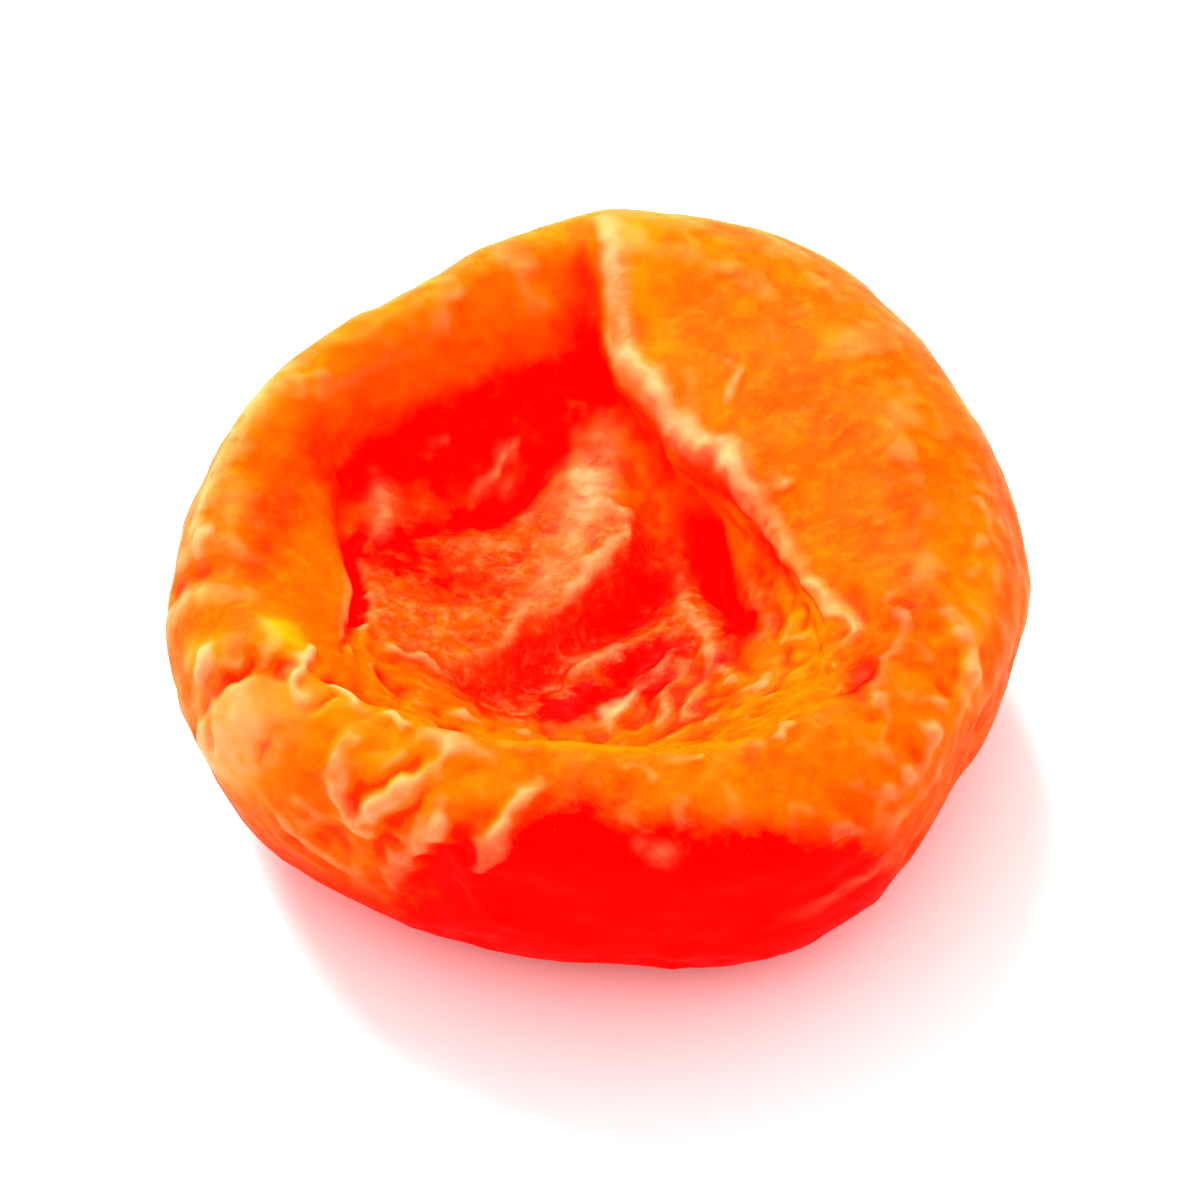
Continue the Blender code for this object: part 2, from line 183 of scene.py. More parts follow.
# Finer folds, made after the skin's squares are divided
FINE_FOLDS = {
    "flap ridge": Fold(0.32, 0.3, ((87, 0.385, 0.06), (86, 0.365, 0.1), (84.6, 0.337, 0.08),
        (82, 0.31, 0.12), (77.5, 0.302, 0.14), (70, 0.298, 0.18), (65, 0.284, 0.2), (55, 0.287, 0.2),
        (46, 0.295, 0.2), (40, 0.29, 0.2), (30, 0.277, 0.2), (21, 0.27, 0.18), (10, 0.267, 0.16),
        (-1, 0.27, 0.16), (-6, 0.278, 0.16), (-10, 0.29, 0.16), (-16, 0.31, 0.14), (-20, 0.315, 0.14),
        (-21.5, 0.302, 0.08))),
    "flap lip fold": Fold(0.3, 0.35, ((52, 0.235, 0.1), (44, 0.24, 0.2), (36, 0.235, 0.2),
        (30, 0.225, 0.1))),
    "flap lip crease": Fold(0.3, 0.3, ((20, 0.225, -0.1), (12, 0.215, -0.22), (5, 0.22, -0.1))),
    "flap streak": Fold(0.3, 0.3, ((59, 0.338, 0.05), (56, 0.332, 0.1), (54, 0.32, 0.08))),
    "flap blob": Fold(0.4, 0.4, ((29, 0.303, 0.1), (26, 0.31, 0.1))),
    "flap dip": Fold(0.8, 0.8, ((41, 0.335, -0.06), (36, 0.345, -0.06))),
    "far rim ridge": Fold(0.6, 0.5, ((100.5, 0.38, 0.03), (100, 0.345, 0.12), (98.5, 0.32, 0.1),
        (98, 0.305, 0.03))),
    "second far ridge": Fold(0.7, 0.7, ((109, 0.35, 0.02), (108, 0.325, 0.07), (107, 0.305, 0.02))),
    "far left crest": Fold(0.6, 0.9, ((112, 0.385, 0.05), (114, 0.365, 0.14), (118, 0.35, 0.14),
        (126, 0.345, 0.06), (134, 0.345, 0.06), (142, 0.352, 0.12), (148, 0.365, 0.08),
        (156, 0.385, 0.04))),
    "left inner crease": Fold(0.35, 0.35, ((156, 0.19, -0.15), (161, 0.205, -0.4), (168, 0.22, -0.5),
        (177, 0.23, -0.5), (187, 0.245, -0.45), (195, 0.27, -0.25), (204, 0.3, -0.08))),
    "left floor ridge": Fold(0.25, 0.25, ((201, 0.165, 0.1), (203, 0.15, 0.18), (206, 0.137, 0.24),
        (212, 0.13, 0.14))),
    "left floor pit": Fold(0.45, 0.45, ((212, 0.19, -0.25), (215, 0.18, -0.3))),
    "left end bump": Fold(0.45, 0.45, ((184, 0.42, 0.12), (186.5, 0.43, 0.14))),
    "crease over the bulge": Fold(0.28, 0.28, ((206, 0.54, -0.15), (207.5, 0.52, -0.28), (209, 0.49, -0.33),
        (209.5, 0.46, -0.33), (210, 0.44, -0.28), (209, 0.415, -0.1))),
    "bulge pit": Fold(0.25, 0.25, ((211, 0.505, -0.1), (211.8, 0.52, -0.14))),
    "blob above the bulge": Fold(0.45, 0.45, ((204.5, 0.47, 0.22), (205, 0.48, 0.22))),
    "first pocket": Fold(0.5, 0.5, ((210.5, 0.42, -0.2), (212, 0.4, -0.35))),
    "second pocket": Fold(0.45, 0.4, ((216, 0.35, -0.15), (219, 0.34, -0.25), (222, 0.333, -0.12))),
    "ridge between the pockets": Fold(0.32, 0.32, ((208.5, 0.345, 0.15), (212, 0.37, 0.28),
        (215.5, 0.395, 0.25), (220, 0.42, 0.12))),
    "short crease": Fold(0.25, 0.25, ((222, 0.38, -0.08), (222, 0.4, -0.14), (222, 0.42, -0.08))),
    "bulge crease": Fold(0.25, 0.25, ((222.5, 0.45, -0.05), (221, 0.475, -0.15), (220.5, 0.5, -0.12))),
    "inner facet": Fold(0.4, 0.4, ((221, 0.36, 0.14), (224, 0.365, 0.22), (227, 0.372, 0.12))),
    "rim facet": Fold(0.5, 0.4, ((231, 0.362, 0.16), (234, 0.368, 0.2))),
    "first low ridge": Fold(0.42, 0.42, ((230.5, 0.42, 0.08), (230.5, 0.445, 0.16), (232, 0.475, 0.2),
        (233, 0.5, 0.22), (234.5, 0.52, 0.22), (237, 0.53, 0.16))),
    "first low crease": Fold(0.36, 0.36, ((243.5, 0.397, -0.08), (241.5, 0.425, -0.13), (238, 0.455, -0.15),
        (235.5, 0.485, -0.22), (235, 0.507, -0.16))),
    "second low ridge": Fold(0.52, 0.52, ((246, 0.385, 0.1), (243.5, 0.412, 0.13), (243, 0.445, 0.2),
        (240.5, 0.475, 0.3), (238, 0.505, 0.32), (236.5, 0.525, 0.22))),
    "middle facet": Fold(0.5, 0.5, ((238, 0.425, 0.05), (236, 0.445, 0.05))),
    "second low crease": Fold(0.49, 0.49, ((244.5, 0.46, -0.16), (243, 0.495, -0.34), (241, 0.53, -0.34),
        (239.5, 0.555, -0.16))),
    "third low ridge": Fold(0.55, 0.55, ((249, 0.475, 0.16), (248, 0.49, 0.3), (246, 0.52, 0.24),
        (243.5, 0.55, 0.22), (240.5, 0.58, 0.16))),
    "third low crease": Fold(0.59, 0.59, ((252, 0.475, -0.08), (251, 0.5, -0.24), (248, 0.535, -0.3),
        (246, 0.57, -0.2))),
    "fourth low ridge": Fold(0.55, 0.55, ((262, 0.4, 0.08), (261, 0.42, 0.16), (259.5, 0.45, 0.22),
        (257, 0.485, 0.28), (255, 0.52, 0.28), (253.5, 0.55, 0.26), (254.5, 0.58, 0.2))),
    "low left roll": Fold(0.5, 0.5, ((224, 0.56, 0.1), (229, 0.575, 0.15), (234, 0.585, 0.1))),
    "side knob": Fold(0.55, 0.5, ((276.5, 0.495, 0.1), (278.5, 0.5, 0.2), (280, 0.5, 0.1))),
    "side ridge a": Fold(0.5, 0.4, ((263, 0.498, 0.03), (267, 0.502, 0.07), (271, 0.505, 0.03))),
    "side ridge b": Fold(0.4, 0.4, ((254, 0.592, 0.03), (258, 0.597, 0.1), (263, 0.6, 0.03))),
    "side ridge c": Fold(0.45, 0.45, ((296, 0.578, 0.04), (302, 0.57, 0.13), (309, 0.577, 0.04))),
    "side ridge d": Fold(0.4, 0.3, ((289, 0.583, 0.03), (293, 0.596, 0.13), (298, 0.602, 0.04))),
    "near rim bump a": Fold(0.45, 0.45, ((283, 0.437, 0.16), (283, 0.452, 0.16))),
    "near rim bump b": Fold(0.6, 0.6, ((279, 0.392, 0.1), (280, 0.4, 0.1))),
    "near rim bump c": Fold(0.5, 0.4, ((274.5, 0.46, 0.18), (277, 0.475, 0.2))),
    "near rim bump d": Fold(0.35, 0.35, ((285, 0.373, 0.08), (290, 0.372, 0.1))),
    "near rim bump e": Fold(0.45, 0.45, ((297, 0.462, 0.14), (298.5, 0.468, 0.14))),
    "near rim bump f": Fold(0.45, 0.4, ((300.5, 0.5, 0.18), (303, 0.505, 0.18))),
    "right streak a": Fold(0.35, 0.35, ((311, 0.335, 0.1), (308, 0.352, 0.2), (305.5, 0.37, 0.12))),
    "right streak b": Fold(0.4, 0.4, ((320, 0.405, 0.12), (317.5, 0.425, 0.2), (315, 0.44, 0.12))),
    "right rim line": Fold(0.25, 0.3, ((334, 0.27, 0.04), (331, 0.3, 0.1), (330, 0.345, 0.1),
        (330.5, 0.37, 0.05))),
    "right rim pit": Fold(0.7, 0.8, ((330, 0.335, -0.1), (327, 0.35, -0.3), (324, 0.36, -0.3),
        (321, 0.37, -0.1))),
    "right spot": Fold(0.3, 0.3, ((341, 0.365, 0.14), (339.5, 0.366, 0.14))),
    "right spot crease": Fold(0.15, 0.15, ((343.5, 0.355, -0.1), (342.5, 0.37, -0.12))),
    "right ridge": Fold(0.7, 0.6, ((340, 0.43, 0.15), (337.5, 0.455, 0.3), (335, 0.477, 0.36),
        (331, 0.49, 0.32), (327.5, 0.488, 0.24), (325, 0.475, 0.12))),
    "right crease": Fold(0.3, 0.3, ((334, 0.43, -0.08), (331.5, 0.45, -0.16), (328, 0.458, -0.12))),
    "right edge ridge": Fold(0.8, 0.8, ((12, 0.445, 0.05), (4, 0.445, 0.14), (-3, 0.44, 0.14),
        (-9, 0.45, 0.12), (-14, 0.47, 0.05))),
    "right comma": Fold(0.4, 0.4, ((324, 0.462, 0.1), (321, 0.477, 0.28), (317.5, 0.49, 0.28),
        (312, 0.497, 0.2), (308, 0.49, 0.08))),
}
# Points that a fold's line is cut into, and how many times its width a fold can be felt
ROUTE_POINTS = 72
FOLD_REACH = 2.6

# Oval regions of the skin: (azimuth in degrees, station) of the middle, and how far the region reaches
PATCHES = {
    "low left": ((228, 0.50), (38, 0.10)),
    "left end": ((188, 0.42), (20, 0.08)),
    "bulge": ((215, 0.50), (9, 0.06)),
    "flap": ((45, 0.38), (50, 0.10)),
    "crumpled floor": ((12, 0.12), (35, 0.05)),
    "near rim": ((250, 0.44), (60, 0.12)),
    "right rim": ((335, 0.42), (30, 0.12)),
}
# Stations between which the hollow's floor fades out, and the outside and the underside fade in
HOLLOW_END = (0.18, 0.28)
OUTSIDE_START = (0.44, 0.56)
UNDERSIDE_START = (0.74, 0.84)

# How much longer the skin grows than its flesh, round the fruit and along its section
LARGE_GROWTH = {
    "everywhere": (0.02, 0.01),
    "outside": (0.05, 0.0),
    "low left": (0.02, 0.0),
    "left end": (-0.015, -0.01),
    "flap": (-0.01, -0.005),
    "hollow": (0.02, 0.02),
    "underside": (0.02, 0.0),
}
SMALL_GROWTH = {
    "everywhere": (0.017, 0.017),
    "outside": (0.02, 0.01),
    "low left": (0.02, 0.015),
    "left end": (-0.015, -0.015),
    "bulge": (-0.03, -0.02),
    "flap": (-0.01, -0.01),
    "hollow": (0.02, 0.03),
    "crumpled floor": (0.06, 0.0),
}
# Lumps of the flesh under the skin: size and height in millimetres, and seed
BROAD_LUMPS = ((7.0, 0.28, 5), (3.0, 0.14, 6))
FINE_LUMPS = ((1.6, 0.06, 7), (0.8, 0.03, 8))
PEBBLES = ((1.4, 0.14, 9), (0.7, 0.03, 10))
FLOOR_LUMPS = ((1.1, 0.1, 12), (0.5, 0.05, 13))
# Which way, and how far for each unit of the seed, the clouds are moved so that no two are alike
SEED_SHIFT = (1.0, 0.37, -0.71)
# Bending stiffness, hold of the flesh, growth's unevenness and its size in millimetres, and seed
LARGE_SKIN = (0.6, 0.03, 1.2, 4.5, 11)
SMALL_SKIN = (0.5, 0.05, 1.2, 2.6, 23)
# How much harder the flesh holds against a rise than against a dip, and how hard sideways
OUTWARD_FIRMNESS = 2.0
SIDEWAYS_HOLD = 0.35
# Share of the speed that is left after a step, length of a step, and first unevenness in millimetres
DAMPING = 0.9
STEP = 0.32
START_ROUGHNESS = 0.02
# Strength of the links across the squares' corners, and the shortest link and run that count
DIAGONAL_STRENGTH = 0.5
SHORTEST_LINK = 1e-6
SHORTEST_RUN = 1e-9
# From this height up a point of the block is on its top, and below its negative on its bottom
BLOCK_FACE = 0.9999

# Rays that look for flesh near a point, how far they look, and how far above the skin they start
SHELTER_RAYS = 20
SHELTER_REACH = 14.0
SHELTER_LIFT = 0.05

# Painted highlights in pale, partly dry, pale skin; painted light in yellow; and painted shade in red,
# partly moist, red flesh; each as folds whose height is the strength of the colour
PALE_HIGHLIGHT_ZONES = {
    "flap ridge": Fold(0.42, 0.36, ((87, 0.4, 0.4), (86, 0.365, 0.7), (84.6, 0.337, 0.6), (82, 0.31, 0.9),
        (77.5, 0.302, 0.8), (70, 0.298, 0.9), (65, 0.284, 1.1), (55, 0.287, 1.2), (46, 0.295, 1.2),
        (40, 0.29, 1.1), (30, 0.277, 1.0), (21, 0.27, 0.9), (10, 0.267, 0.6), (-1, 0.27, 0.5),
        (-6, 0.278, 0.6), (-10, 0.29, 0.7), (-16, 0.31, 0.7), (-20, 0.315, 0.7), (-21.5, 0.302, 0.4))),
    "flap corner": Fold(0.7, 0.5, ((86.5, 0.36, 0.4), (85, 0.33, 0.5), (83, 0.31, 0.4))),
    "left bulge": Fold(1.7, 1.5, ((212.5, 0.53, 1.0), (215, 0.5, 0.9), (219, 0.46, 0.5))),
    "blob above the bulge": Fold(0.6, 0.6, ((204.5, 0.47, 0.8), (205, 0.485, 0.8))),
    "left edge": Fold(0.6, 0.8, ((138, 0.4, 0.1), (146, 0.405, 0.3), (156, 0.41, 0.5), (168, 0.42, 0.7),
        (180, 0.435, 0.7), (187, 0.43, 0.3))),
    "far left crest": Fold(0.3, 0.3, ((113, 0.375, 0.3), (116, 0.355, 0.5), (122, 0.34, 0.2),
        (140, 0.343, 0.4), (147, 0.357, 0.2))),
    "low ridges": Fold(0.45, 0.4, ((243, 0.445, 0.6), (240.5, 0.475, 1.0), (238, 0.505, 1.0),
        (236, 0.53, 0.7), (233, 0.5, 0.6), (232, 0.475, 0.5))),
    "third low ridge": Fold(0.35, 0.35, ((248.5, 0.485, 0.9), (246, 0.52, 0.6), (243.5, 0.55, 0.5))),
    "fourth low ridge": Fold(0.35, 0.35, ((261, 0.42, 0.3), (257, 0.485, 0.6), (254.5, 0.53, 0.4))),
    "near rim edge": Fold(0.5, 0.4, ((240, 0.375, 0.4), (246, 0.385, 0.8), (252, 0.39, 0.3))),
    "right ridge": Fold(0.4, 0.5, ((338, 0.45, 0.5), (335, 0.477, 0.7), (330, 0.49, 0.5))),
    "right comma": Fold(0.25, 0.25, ((322, 0.475, 0.7), (317.5, 0.49, 0.8), (312, 0.497, 0.3))),
    "side knob": Fold(0.7, 0.5, ((276.5, 0.495, 0.3), (278.5, 0.5, 0.55), (280, 0.5, 0.3))),
    "side ridges": Fold(0.8, 0.8, ((292, 0.588, 0.1), (298, 0.59, 0.25), (305, 0.575, 0.35),
        (311, 0.57, 0.3))),
    "ridge between the pockets": Fold(0.35, 0.35, ((208.5, 0.345, 0.3), (212, 0.37, 0.6),
        (215.5, 0.395, 0.6), (220, 0.42, 0.4))),
    "inner facet": Fold(0.35, 0.35, ((221, 0.36, 0.4), (224, 0.365, 0.6), (227, 0.372, 0.3))),
}
# Painted light in yellow where the fruit's shape lies in shade, with the spot on the rim partly the skin's
# own yellow
YELLOW_LIGHT_ZONES = {
    "spot on the rim": Fold(0.75, 0.75, ((204.2, 0.363, 1.0), (205.6, 0.366, 1.0))),
    "far rim": Fold(1.3, 1.0, ((97, 0.34, 0.6), (105, 0.35, 0.4), (112, 0.36, 0.35), (122, 0.36, 0.4),
        (135, 0.365, 0.4), (149, 0.36, 0.3), (158, 0.37, 0.1))),
    "flap top": Fold(1.0, 1.0, ((84, 0.4, 0.4), (82, 0.35, 0.5), (75, 0.32, 0.3))),
    "flap lip": Fold(1.0, 1.0, ((66, 0.25, 0.4), (57, 0.222, 1.0), (50, 0.212, 1.3), (44, 0.21, 1.3),
        (38, 0.212, 1.2), (32, 0.215, 1.1), (26, 0.22, 0.7), (14, 0.225, 0.25))),
    "right wall": Fold(1.2, 1.2, ((2, 0.22, 0.2), (-7, 0.215, 0.25), (-18, 0.2, 0.25), (-27, 0.18, 0.25))),
    "right edge": Fold(0.9, 1.0, ((8, 0.45, 0.15), (-2, 0.45, 0.3), (-12, 0.455, 0.45), (-20, 0.46, 0.65),
        (-28, 0.475, 0.6), (-36, 0.485, 0.35))),
    "left bulge": Fold(1.8, 1.8, ((213, 0.54, 0.6), (217, 0.5, 0.65), (221, 0.46, 0.45))),
    "above the bulge": Fold(0.7, 0.7, ((202, 0.48, 0.5), (204, 0.46, 0.3))),
    "near left rim": Fold(1.2, 1.3, ((224, 0.4, 0.15), (232, 0.43, 0.25), (240, 0.45, 0.4), (248, 0.44, 0.4),
        (256, 0.425, 0.35), (261, 0.42, 0.1))),
}
# Painted shade in red in the pockets, pits and creases, beside the flap and on the shaded rims, partly moist
# red flesh
RED_SHADE_ZONES = {
    "first pocket": Fold(0.5, 0.5, ((210.5, 0.415, 0.4), (212.5, 0.39, 0.6))),
    "second pocket": Fold(0.55, 0.5, ((216, 0.345, 0.5), (219, 0.335, 0.6), (222, 0.33, 0.4))),
    "left floor pit": Fold(0.6, 0.5, ((212, 0.19, 0.5), (215, 0.18, 0.7))),
    "between the low ridges": Fold(0.6, 0.6, ((252.5, 0.5, 0.7), (250.5, 0.53, 1.1), (248, 0.56, 0.9))),
    "lip crease": Fold(0.5, 0.5, ((24, 0.22, 0.2), (12, 0.215, 0.5), (3, 0.22, 0.3))),
    "right rim": Fold(2.0, 2.0, ((350, 0.33, 0.15), (338, 0.36, 0.22), (325, 0.36, 0.22),
        (312, 0.33, 0.15))),
    "near wall": Fold(1.0, 1.0, ((280, 0.24, 0.2), (287, 0.26, 0.3), (296, 0.26, 0.2))),
    "left inner crease": Fold(0.32, 0.32, ((158, 0.195, 0.9), (168, 0.22, 1.5), (177, 0.23, 1.5),
        (188, 0.25, 1.3), (200, 0.285, 0.4))),
    "beside the flap": Fold(0.25, 1.3, ((91, 0.42, 0.2), (90.3, 0.38, 0.4), (90, 0.35, 0.6),
        (89.4, 0.32, 0.8), (88, 0.3, 1.0), (86, 0.28, 1.0), (86, 0.25, 0.9), (86, 0.225, 0.6))),
    "left rim": Fold(1.1, 1.1, ((150, 0.33, 0.25), (157, 0.335, 0.3), (165, 0.34, 0.4), (174, 0.345, 0.5),
        (184, 0.355, 0.6), (190, 0.365, 0.4))),
    "right rim pit": Fold(0.9, 0.8, ((-27, 0.335, 0.3), (-33, 0.35, 0.7), (-37, 0.362, 0.7),
        (-41, 0.375, 0.3))),
    "low on the flap": Fold(1.3, 1.3, ((14, 0.355, 0.15), (3, 0.365, 0.35), (-9, 0.365, 0.35),
        (-20, 0.355, 0.25))),
}
# The same for the hollow's floor, with (x, y, strength) points
PALE_HIGHLIGHT_FLOOR = {
    "tongue": Fold(1.0, 1.0, ((0.0, 7.3, 0.9), (-0.4, 6.4, 1.2), (-0.6, 5.2, 0.95), (-0.8, 4.2, 0.65),
        (-1.1, 3.2, 0.4), (-1.6, 1.8, 0.3), (-2.4, 0.4, 0.35), (-3.0, -1.0, 0.2))),
    "tongue's crest": Fold(0.22, 0.4, ((0.3, 4.9, 0.6), (0.8, 4.6, 0.8), (0.95, 4.0, 0.6), (0.7, 3.1, 0.6),
        (0.3, 2.1, 0.4), (-0.2, 1.2, 0.4), (-0.7, 0.4, 0.6), (-1.0, 0.0, 0.4))),
    "left step": Fold(0.7, 0.6, ((-8.4, 4.6, 0.4), (-8.3, 3.8, 0.5), (-8.4, 2.4, 0.3))),
    "wall ridge": Fold(0.3, 0.3, ((-4.9, 5.4, 0.4), (-4.4, 6.1, 0.7), (-3.9, 7.0, 1.0), (-3.2, 7.6, 0.9))),
    "wall blotch": Fold(0.35, 0.35, ((-3.7, 5.9, 0.5), (-3.4, 6.2, 0.5))),
    "second wall ridge": Fold(0.3, 0.3, ((-6.6, 6.4, 0.2), (-6.0, 7.1, 0.5))),
    "middle fold": Fold(0.3, 0.3, ((3.1, 2.4, 0.2), (3.3, 1.0, 0.3), (3.3, 0.0, 0.3), (3.7, -1.0, 0.3),
        (4.2, -1.4, 0.35), (4.3, -2.4, 0.4), (4.4, -3.8, 0.6))),
    "first crumple": Fold(0.35, 0.35, ((0.4, -6.0, 0.5), (0.6, -5.3, 0.9), (1.2, -4.5, 0.6),
        (1.9, -3.8, 0.3))),
    "second crumple": Fold(0.3, 0.3, ((2.3, -6.9, 0.2), (2.7, -5.6, 0.5), (2.9, -4.5, 0.2),
        (3.2, -3.4, 0.4))),
    "third crumple": Fold(0.4, 0.4, ((3.4, -6.5, 0.4), (3.9, -5.2, 0.4), (4.2, -4.3, 0.3))),
    "fourth crumple": Fold(0.2, 0.2, ((2.2, -4.2, 0.3), (2.6, -3.2, 0.4), (3.1, -2.4, 0.3))),
    "seventh crumple": Fold(0.5, 0.5, ((-0.7, -2.9, 0.2), (0.1, -2.7, 0.35), (0.7, -2.2, 0.2))),
}
# Painted light in yellow beside the tongue
YELLOW_LIGHT_FLOOR = {
    "beside the tongue": Fold(0.7, 0.7, ((1.0, 7.6, 0.5), (1.4, 6.4, 0.7), (1.7, 5.4, 0.7),
        (2.0, 4.2, 0.4))),
}
# Painted shade in red in the floor's groove, slit, basin and low places, partly moist red flesh
RED_SHADE_FLOOR = {
    "groove": Fold(0.9, 0.9, ((3.0, 3.2, 0.1), (2.9, 2.6, 0.35), (2.0, 1.3, 0.55), (1.3, 0.3, 0.45),
        (0.2, -0.4, 0.2), (-1.0, -1.3, 0.0), (-2.2, -2.6, 0.0))),
    "basin": Fold(0.7, 0.8, ((-3.3, -3.6, 0.1), (-2.4, -4.4, 0.3), (-1.5, -5.0, 1.3), (-0.2, -4.3, 0.6),
        (0.9, -3.4, 0.5), (1.6, -2.9, 0.7), (2.4, -2.4, 0.6))),
    "near wall": Fold(0.9, 0.9, ((1.0, -7.5, 0.3), (2.4, -7.5, 0.55), (4.0, -7.0, 0.45), (5.6, -6.0, 0.3))),
    "crumpled corner": Fold(1.3, 1.6, ((1.6, -2.4, 0.3), (2.6, -3.6, 0.45), (2.3, -5.2, 0.45),
        (3.4, -5.4, 0.4), (4.4, -4.2, 0.35), (5.2, -3.2, 0.3))),
    "left floor": Fold(1.4, 1.4, ((-8.6, 1.6, 0.5), (-7.6, 1.2, 0.55), (-6.2, 0.8, 0.5), (-4.6, 0.4, 0.35),
        (-3.4, 0.2, 0.2))),
    "near foot": Fold(0.5, 0.4, ((-5.2, -5.0, 0.2), (-4.6, -5.6, 0.5), (-3.8, -5.8, 0.3),
        (-2.2, -6.0, 0.4))),
    "slit": Fold(0.5, 0.4, ((3.3, 4.8, 0.5), (3.6, 4.2, 1.2), (4.0, 3.4, 2.2), (4.35, 2.3, 2.4),
        (4.6, 1.0, 2.4), (4.9, -0.3, 2.2), (5.35, -2.1, 1.5))),
    "right of the slit": Fold(0.9, 0.9, ((6.4, 0.6, 0.4), (6.4, -1.0, 0.6), (6.2, -2.3, 0.65),
        (5.2, -3.4, 0.5))),
    "far foot of the tongue": Fold(0.5, 0.6, ((-1.5, 7.9, 0.9), (-2.3, 6.6, 1.1), (-3.0, 5.7, 1.0),
        (-3.8, 5.0, 0.9), (-5.0, 4.2, 0.9), (-6.2, 3.5, 0.7), (-7.4, 2.7, 0.5))),
    "left dots": Fold(0.35, 0.35, ((-8.2, 2.0, 0.5), (-7.7, 2.1, 0.6))),
}
# Wide areas of painted shade in red, partly a redder lower flank: the hollow's far wall, and the flanks,
# strongest on the near side. Softness of their edges, and (azimuth in degrees, from station, to station,
# strength)
RED_SHADE_BELTS = {
    "far wall": (0.042, ((82, 0.24, 0.28, 0.0), (85, 0.23, 0.28, 1.0), (92, 0.19, 0.292, 1.2),
        (101, 0.175, 0.295, 1.2), (114, 0.155, 0.285, 1.2), (125, 0.155, 0.292, 1.2),
        (133, 0.17, 0.295, 1.2), (147, 0.205, 0.31, 1.1), (153, 0.26, 0.315, 0.9),
        (160, 0.29, 0.305, 0.0))),
    "flanks": (0.062, ((0, 0.68, 0.86, 0.5), (90, 0.68, 0.86, 0.5), (180, 0.67, 0.86, 0.5),
        (222, 0.65, 0.86, 0.6), (238, 0.6, 0.86, 0.9), (246, 0.54, 0.86, 1.1), (251, 0.525, 0.86, 1.4),
        (256, 0.525, 0.86, 1.6), (262, 0.45, 0.86, 1.7), (268, 0.438, 0.86, 1.7), (274, 0.47, 0.86, 1.7),
        (280, 0.467, 0.86, 1.7), (286, 0.465, 0.86, 1.7), (292, 0.478, 0.86, 1.7), (298, 0.502, 0.86, 1.7),
        (304, 0.527, 0.86, 1.4), (310, 0.56, 0.86, 1.0), (318, 0.61, 0.86, 0.6), (330, 0.65, 0.86, 0.5))),
}
# How far these areas and the fine folds wander from their lines, the size of their bends, and seeds
EDGE_WANDER = 0.42
WANDER_SIZE = 0.9
WANDER_SEEDS = (41, 43)
# Unevenness of the fine folds' height, and its seed
FOLD_UNEVENNESS = 0.9
UNEVENNESS_SEED = 47
# Raggedness of the belts' edges as a station, its size in millimetres, and seed
BELT_RAGGEDNESS = 0.006
RAGGED_SIZE = 1.3
RAGGED_SEED = 31
# Moist red and painted shade of the whole floor: middle, reach along x and y, and strength
MOIST_AND_SHADED_FLOOR = (-2.3, -0.3, 8.0, 6.6, 0.45)
# Shares of that reach between which the red and the grainy floor fade out, and the strongest red
MOIST_AND_SHADE_EDGE = (0.75, 1.1)
GRAINY_EDGE = (0.75, 1.0)
DEEPEST_RED = 2
# Smoothing that a ridge is measured against, and the height in millimetres that counts as a full rise
RISE_PASSES = 24
RISE_RANGE = 0.12

# Colours laid over the skin one after another: the colour's name in the look, the stored value or else the
# noise that it follows, and (first value, second value, colour's share at the first, share at the second).
# A noise is (waves per metre, detail, roughness)
COATS = (
    ("yellow", (160.0, 3.0, 0.5), (0.48, 0.72, 0.0, 0.5)),
    ("yellow", (520.0, 4.0, 0.6), (0.5, 0.75, 0.0, 0.6)),
    ("red", (430.0, 3.0, 0.6), (0.5, 0.25, 0.0, 0.42)),
    # Painted shade: red where nearby flesh or the ground hides the skin, partly the redder flesh of the
    # folds
    ("red", "sheltered", (0.15, 0.65, 0.0, 1.0)),
    # Painted light: the yellow zones, with the spot on the rim partly the skin's own yellow
    ("spot_and_painted_light", "yellow_light_zone", (0.0, 1.0, 0.0, 1.0)),
    ("yellow", (1700.0, 3.0, 0.6), (0.5, 0.72, 0.0, 0.4)),
    # Painted shade: deep red at the bottom of the creases, partly their moist flesh
    ("moist_red_and_shade", "rise", (-0.1, -0.8, 0.0, 0.6)),
)
# The same numbers for the painted highlights on crests in the open, the moist red with its painted shade,
# the pale grit, and the painted highlights of the pale zones, partly dry skin
CREST_PALE = (0.25, 0.9, 0.0, 0.5)
CREST_OPEN = (0.15, 0.4, 1.0, 0.0)
MOIST_AND_SHADE_NOISE = ((1100.0, 4.0, 0.65), (0.32, 0.68, 0.62, 1.3))
MOIST_AND_SHADE_RED = (0.1, 1.0, 0.0, 1.0)
GRIT_NOISE = ((1900.0, 4.0, 0.7), (0.46, 0.72, 0.0, 1.0))
GRIT_OUTSIDE_MOIST_AND_SHADE = (0.9, 0.35, 0.0, 0.36)
DRY_AND_HIGHLIGHT_NOISE = ((900.0, 4.0, 0.65), (0.36, 0.6, 0.25, 1.0))
DRY_AND_HIGHLIGHT_PALE = (0.1, 1.0, 0.0, 0.9)
# Finest relief of the skin: its two noises, the second one's share, strength, and depth in metres
FINE_NOISE = (1500.0, 4.0, 0.6)
CRINKLE_NOISE = (700.0, 3.0, 0.5, "RIDGED_MULTIFRACTAL")
CRINKLE_SHARE = 0.35
RELIEF_STRENGTH = 0.35
RELIEF_DEPTH = 0.00012
# Noise values between which the roughness changes, and by how much it goes below and above the look's
ROUGHNESS_SPAN = (0.3, 0.7)
ROUGHNESS_CHANGE = (-0.08, 0.1)
# How far red, green and blue light travel in the flesh, as shares of the look's glow depth
GLOW_REACH = (1.0, 0.1, 0.04)

